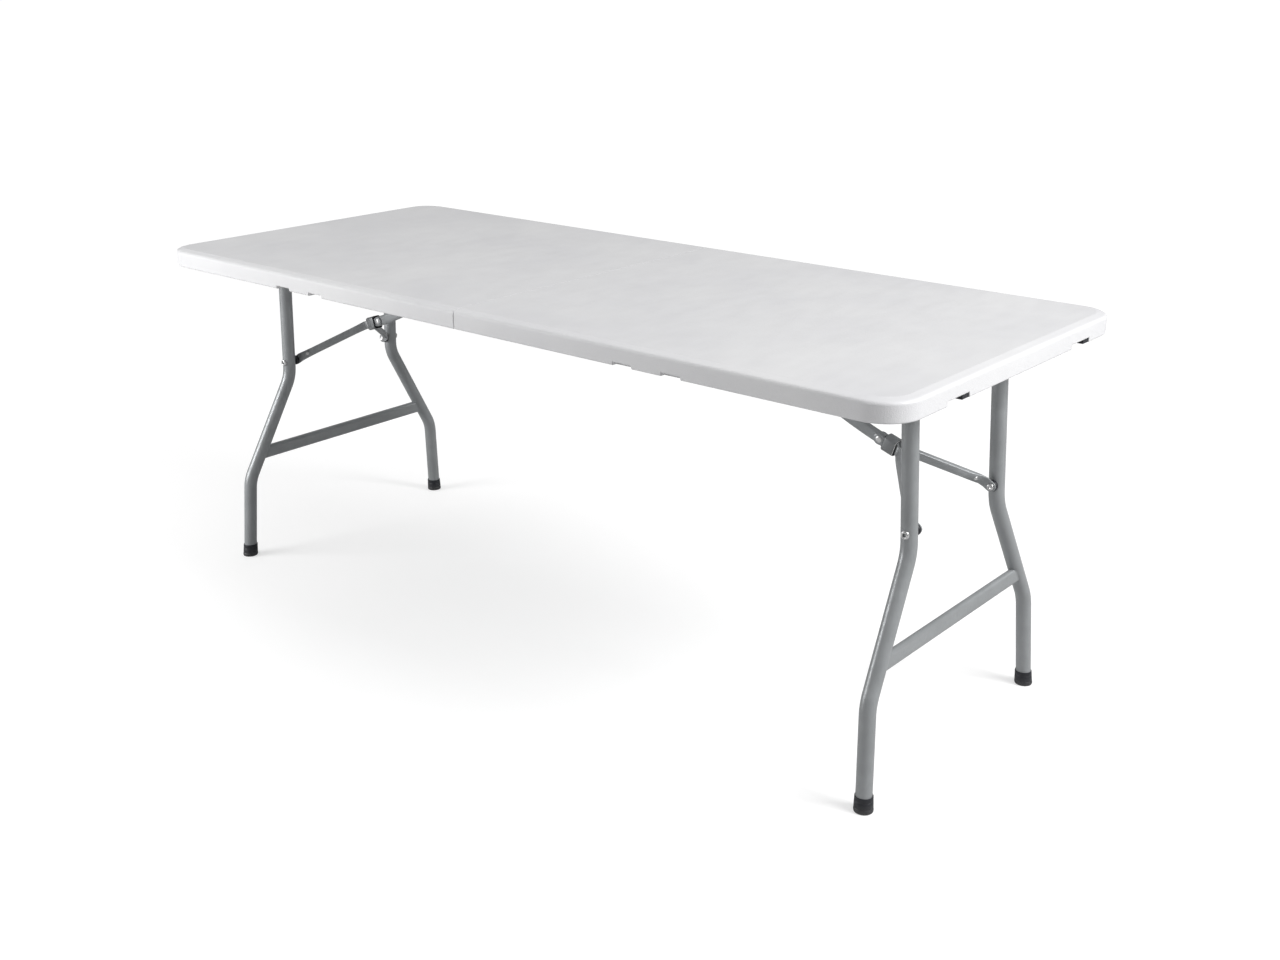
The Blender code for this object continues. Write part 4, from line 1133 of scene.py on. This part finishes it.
# %% Screw heads
SCREW_HEAD = [(0, 0.0004), (0.0013, 0.0004), (0.0015, 0.0018), (0.0026, 0.0016), (0.0035, 0.0008),
              (0.0036, 0.0), (0, 0.0)]
# the height of each plate's lower face, from the thickness of its steel
RAIL_PLATE = rail_high.z - 0.0015
BRACKET_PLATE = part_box("brace_bracket_right")[1].z - 0.0020
LEAF_PLATE = RIM_Z - SMALL_GAP - 0.0018
HINGE_Y = sum(corner.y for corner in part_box("hinge_leaf_right_far")) / 2
BRACKET_HOLE_X, BRACKET_HOLE_Y = 0.019, 0.022
RAIL_HOLES, RAIL_END = 5, 0.030
LEAF_HOLES = ((0.014, 0), (0.026, -0.014), (0.026, 0.014))


def add_screws(name, body, places, z):
    """Screw heads that point down from a plate, at places given for the right end."""
    end = 1 if body == "root" else -1
    bm = bmesh.new()
    for x, y in places:
        lathe(bm, SCREW_HEAD, (end * x, y, z), -Z_AXIS, 18)
    finish_piece(name, bm, body, zinc, sharp=50.0)


rail_middle = (rail_low.y + rail_high.y) / 2
rail_pitch = (rail_high.x - rail_low.x - 2 * RAIL_END) / (RAIL_HOLES - 1)
for end_name, body in TOP_BODY.items():
    corners = [(strut_root.x + dx, dy) for dx in (-BRACKET_HOLE_X, BRACKET_HOLE_X)
               for dy in (-BRACKET_HOLE_Y, BRACKET_HOLE_Y)]
    add_screws(f"bracket_screws_{end_name}", body, corners, BRACKET_PLATE)
    for side_name, side in SIDES.items():
        along_rail = [(rail_low.x + RAIL_END + i * rail_pitch, side * rail_middle)
                      for i in range(RAIL_HOLES)]
        add_screws(f"rail_screws_{end_name}_{side_name}", body, along_rail, RAIL_PLATE)
        on_leaf = [(x, side * HINGE_Y + dy) for x, dy in LEAF_HOLES]
        add_screws(f"hinge_screws_{end_name}_{side_name}", body, on_leaf, LEAF_PLATE)
print("a screw head stands", SCREW_HEAD[2][1] * 1000, "mm proud")

# %% [markdown]
# ## Grip ribs on the latches
#
# Each latch is pushed along with a fingertip, so its lower face has a few low ribs across the push.

# %% Latch ribs
RIBS = 5
RIB_HALF, RIB_MARGIN = 0.0007, 0.0025
RIB_PROUD, RIB_SUNK = 0.0002, 0.0003

for side_name in SIDES:
    latch_low, latch_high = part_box(f"latch_{side_name}")
    bm = bmesh.new()
    pitch = (latch_high.y - latch_low.y) / (RIBS + 1)
    for i in range(1, RIBS + 1):
        y = latch_low.y + i * pitch
        add_block(bm, (latch_low.x + RIB_MARGIN, y - RIB_HALF, latch_low.z - RIB_PROUD),
                  (latch_high.x - RIB_MARGIN, y + RIB_HALF, latch_low.z + RIB_SUNK), 0.0002, 1)
    finish_piece(f"latch_ribs_{side_name}", bm, f"{side_name}_latch", black_plastic)
print("each latch has", RIBS, "ribs")

# %% [markdown]
# ## Solids that stay
#
# The rest of the frame's solids already have the right shape: rails, blocks, brackets, hinges, handle and
# latches. They keep their meshes and only get a finish.

# %% Give every carried-over solid its finish
FINISH_OF_SLOT = {"white_plastic": white_plastic, "grey_plastic": grey_plastic,
                  "black_plastic": black_plastic, "frame_paint": grey_paint, "zinc_steel": zinc}
slot_of_node = {row["node"]: row["material_slot"] for row in frame["record"]["subparts"]}
for node_name, solid in frame["nodes"].items():
    solid.data.materials.clear()
    solid.data.materials.append(FINISH_OF_SLOT[slot_of_node[node_name]])
print("solids with a finish:", len(slot_of_node))

# %% [markdown]
# ## Floor
#
# The table stands on a plain pale floor that reaches far past the picture. It only catches soft shadows. Its
# glow is for the camera alone, so that it looks bright without lighting the table from below. It can be seen
# through from beneath, so that one can look at the table's underside.


# %% Floor
FLOOR_HALF = 60.0
GLOW_FROM, GLOW_TO = (1.0, 0.56), (6.0, 0.80)  # distance from the middle, and glow there


def make_floor():
    bm = bmesh.new()
    bmesh.ops.create_grid(bm, x_segments=1, y_segments=1, size=FLOOR_HALF)
    mesh = bpy.data.meshes.new("floor")
    bm.to_mesh(mesh)
    bm.free()
    floor = bpy.data.objects.new("floor", mesh)
    bpy.context.scene.collection.objects.link(floor)
    finish = Finish("pale_floor", (0.50, 0.50, 0.50), 0.9)
    finish.shader.inputs["Emission Color"].default_value = (1.0, 1.0, 1.0, 1.0)
    seen = finish.tree.nodes.new("ShaderNodeLightPath").outputs["Is Camera Ray"]
    distance = finish.tree.nodes.new("ShaderNodeVectorMath")
    distance.operation = "LENGTH"
    finish.link(finish.place, distance, "Vector")
    glow = finish.remap(distance.outputs["Value"], GLOW_FROM[0], GLOW_TO[0], GLOW_FROM[1], GLOW_TO[1])
    finish.link(finish.math("MULTIPLY", seen, glow), finish.shader, "Emission Strength")
    back = finish.tree.nodes.new("ShaderNodeNewGeometry").outputs["Backfacing"]
    finish.link(finish.math("SUBTRACT", 1.0, back), finish.shader, "Alpha")
    mesh.materials.append(finish.material)


make_floor()
print("the floor reaches", FLOOR_HALF, "m each way")


# %% [markdown]
# ## Light
#
# The light is that of a small studio: a white room that is brighter overhead, one large soft light from the
# right that brightens the short end and that half of the top, and a small one from the front left that
# lights the long wall. Area lights are used because their size sets how soft the shadows are.


# %% Light
def add_light(name, place, target, size, power):
    light = bpy.data.lights.new(name, "AREA")
    light.shape = "RECTANGLE"
    light.size, light.size_y = size
    light.energy = power
    lamp = bpy.data.objects.new(name, light)
    bpy.context.scene.collection.objects.link(lamp)
    lamp.location = place
    lamp.rotation_mode = "QUATERNION"
    lamp.rotation_quaternion = (Vector(target) - Vector(place)).to_track_quat("-Z", "Y")


def make_world(low, high, backdrop):
    """Soft light that is stronger from above, and a white backdrop where the camera looks past the table."""
    world = bpy.data.worlds.new("studio")
    world.use_nodes = True
    tree = world.node_tree
    background = tree.nodes["Background"]
    background.inputs["Color"].default_value = (1.0, 1.0, 1.0, 1.0)
    direction = tree.nodes.new("ShaderNodeSeparateXYZ")
    tree.links.new(tree.nodes.new("ShaderNodeTexCoord").outputs["Generated"], direction.inputs["Vector"])
    sky = tree.nodes.new("ShaderNodeMapRange")
    sky.inputs["To Min"].default_value = low
    sky.inputs["To Max"].default_value = high
    tree.links.new(direction.outputs["Z"], sky.inputs["Value"])
    strength = tree.nodes.new("ShaderNodeMix")
    strength.inputs["B"].default_value = backdrop
    tree.links.new(tree.nodes.new("ShaderNodeLightPath").outputs["Is Camera Ray"], strength.inputs["Factor"])
    tree.links.new(sky.outputs["Result"], strength.inputs["A"])
    tree.links.new(strength.outputs["Result"], background.inputs["Strength"])
    bpy.context.scene.world = world


make_world(0.16, 0.60, 1.0)
add_light("right_softbox", (4.6, 0.9, 3.8), (0.5, 0, 0.72), (2.6, 2.0), 300)
add_light("front_left_softbox", (-1.9, -1.9, 1.0), (-0.8, 0, 0.6), (1.2, 1.2), 42)
bpy.context.scene.view_settings.view_transform = "Standard"

# %% [markdown]
# ## Camera
#
# The camera stands in front of the near right corner, a little above the top, and looks down by about 20
# degrees. It is turned about the vertical first, then tilted, and levelled last.

# %% Camera
CAMERA_PLACE = Vector((1.8905, -2.0961, 1.3342))
CAMERA_TURN, CAMERA_TILT, CAMERA_ROLL = 0.7025, 0.3505, -0.0026  # radians
camera_data = bpy.data.cameras.new("camera")
camera_data.sensor_width = 36.0
camera_data.lens = 40.62
camera = bpy.data.objects.new("camera", camera_data)
bpy.context.scene.collection.objects.link(camera)
camera.matrix_world = (Matrix.Translation(CAMERA_PLACE) @ Matrix.Rotation(CAMERA_TURN, 4, "Z")
                       @ Matrix.Rotation(math.pi / 2 - CAMERA_TILT, 4, "X")
                       @ Matrix.Rotation(CAMERA_ROLL, 4, "Z"))
bpy.context.scene.camera = camera
print("the camera looks down by", round(math.degrees(CAMERA_TILT)), "degrees")

# %% [markdown]
# ## The last step
#
# The view layer is updated last. Each solid that a finer piece has replaced was hidden when that piece was
# finished.

# %% Update the view layer
bpy.context.view_layer.update()
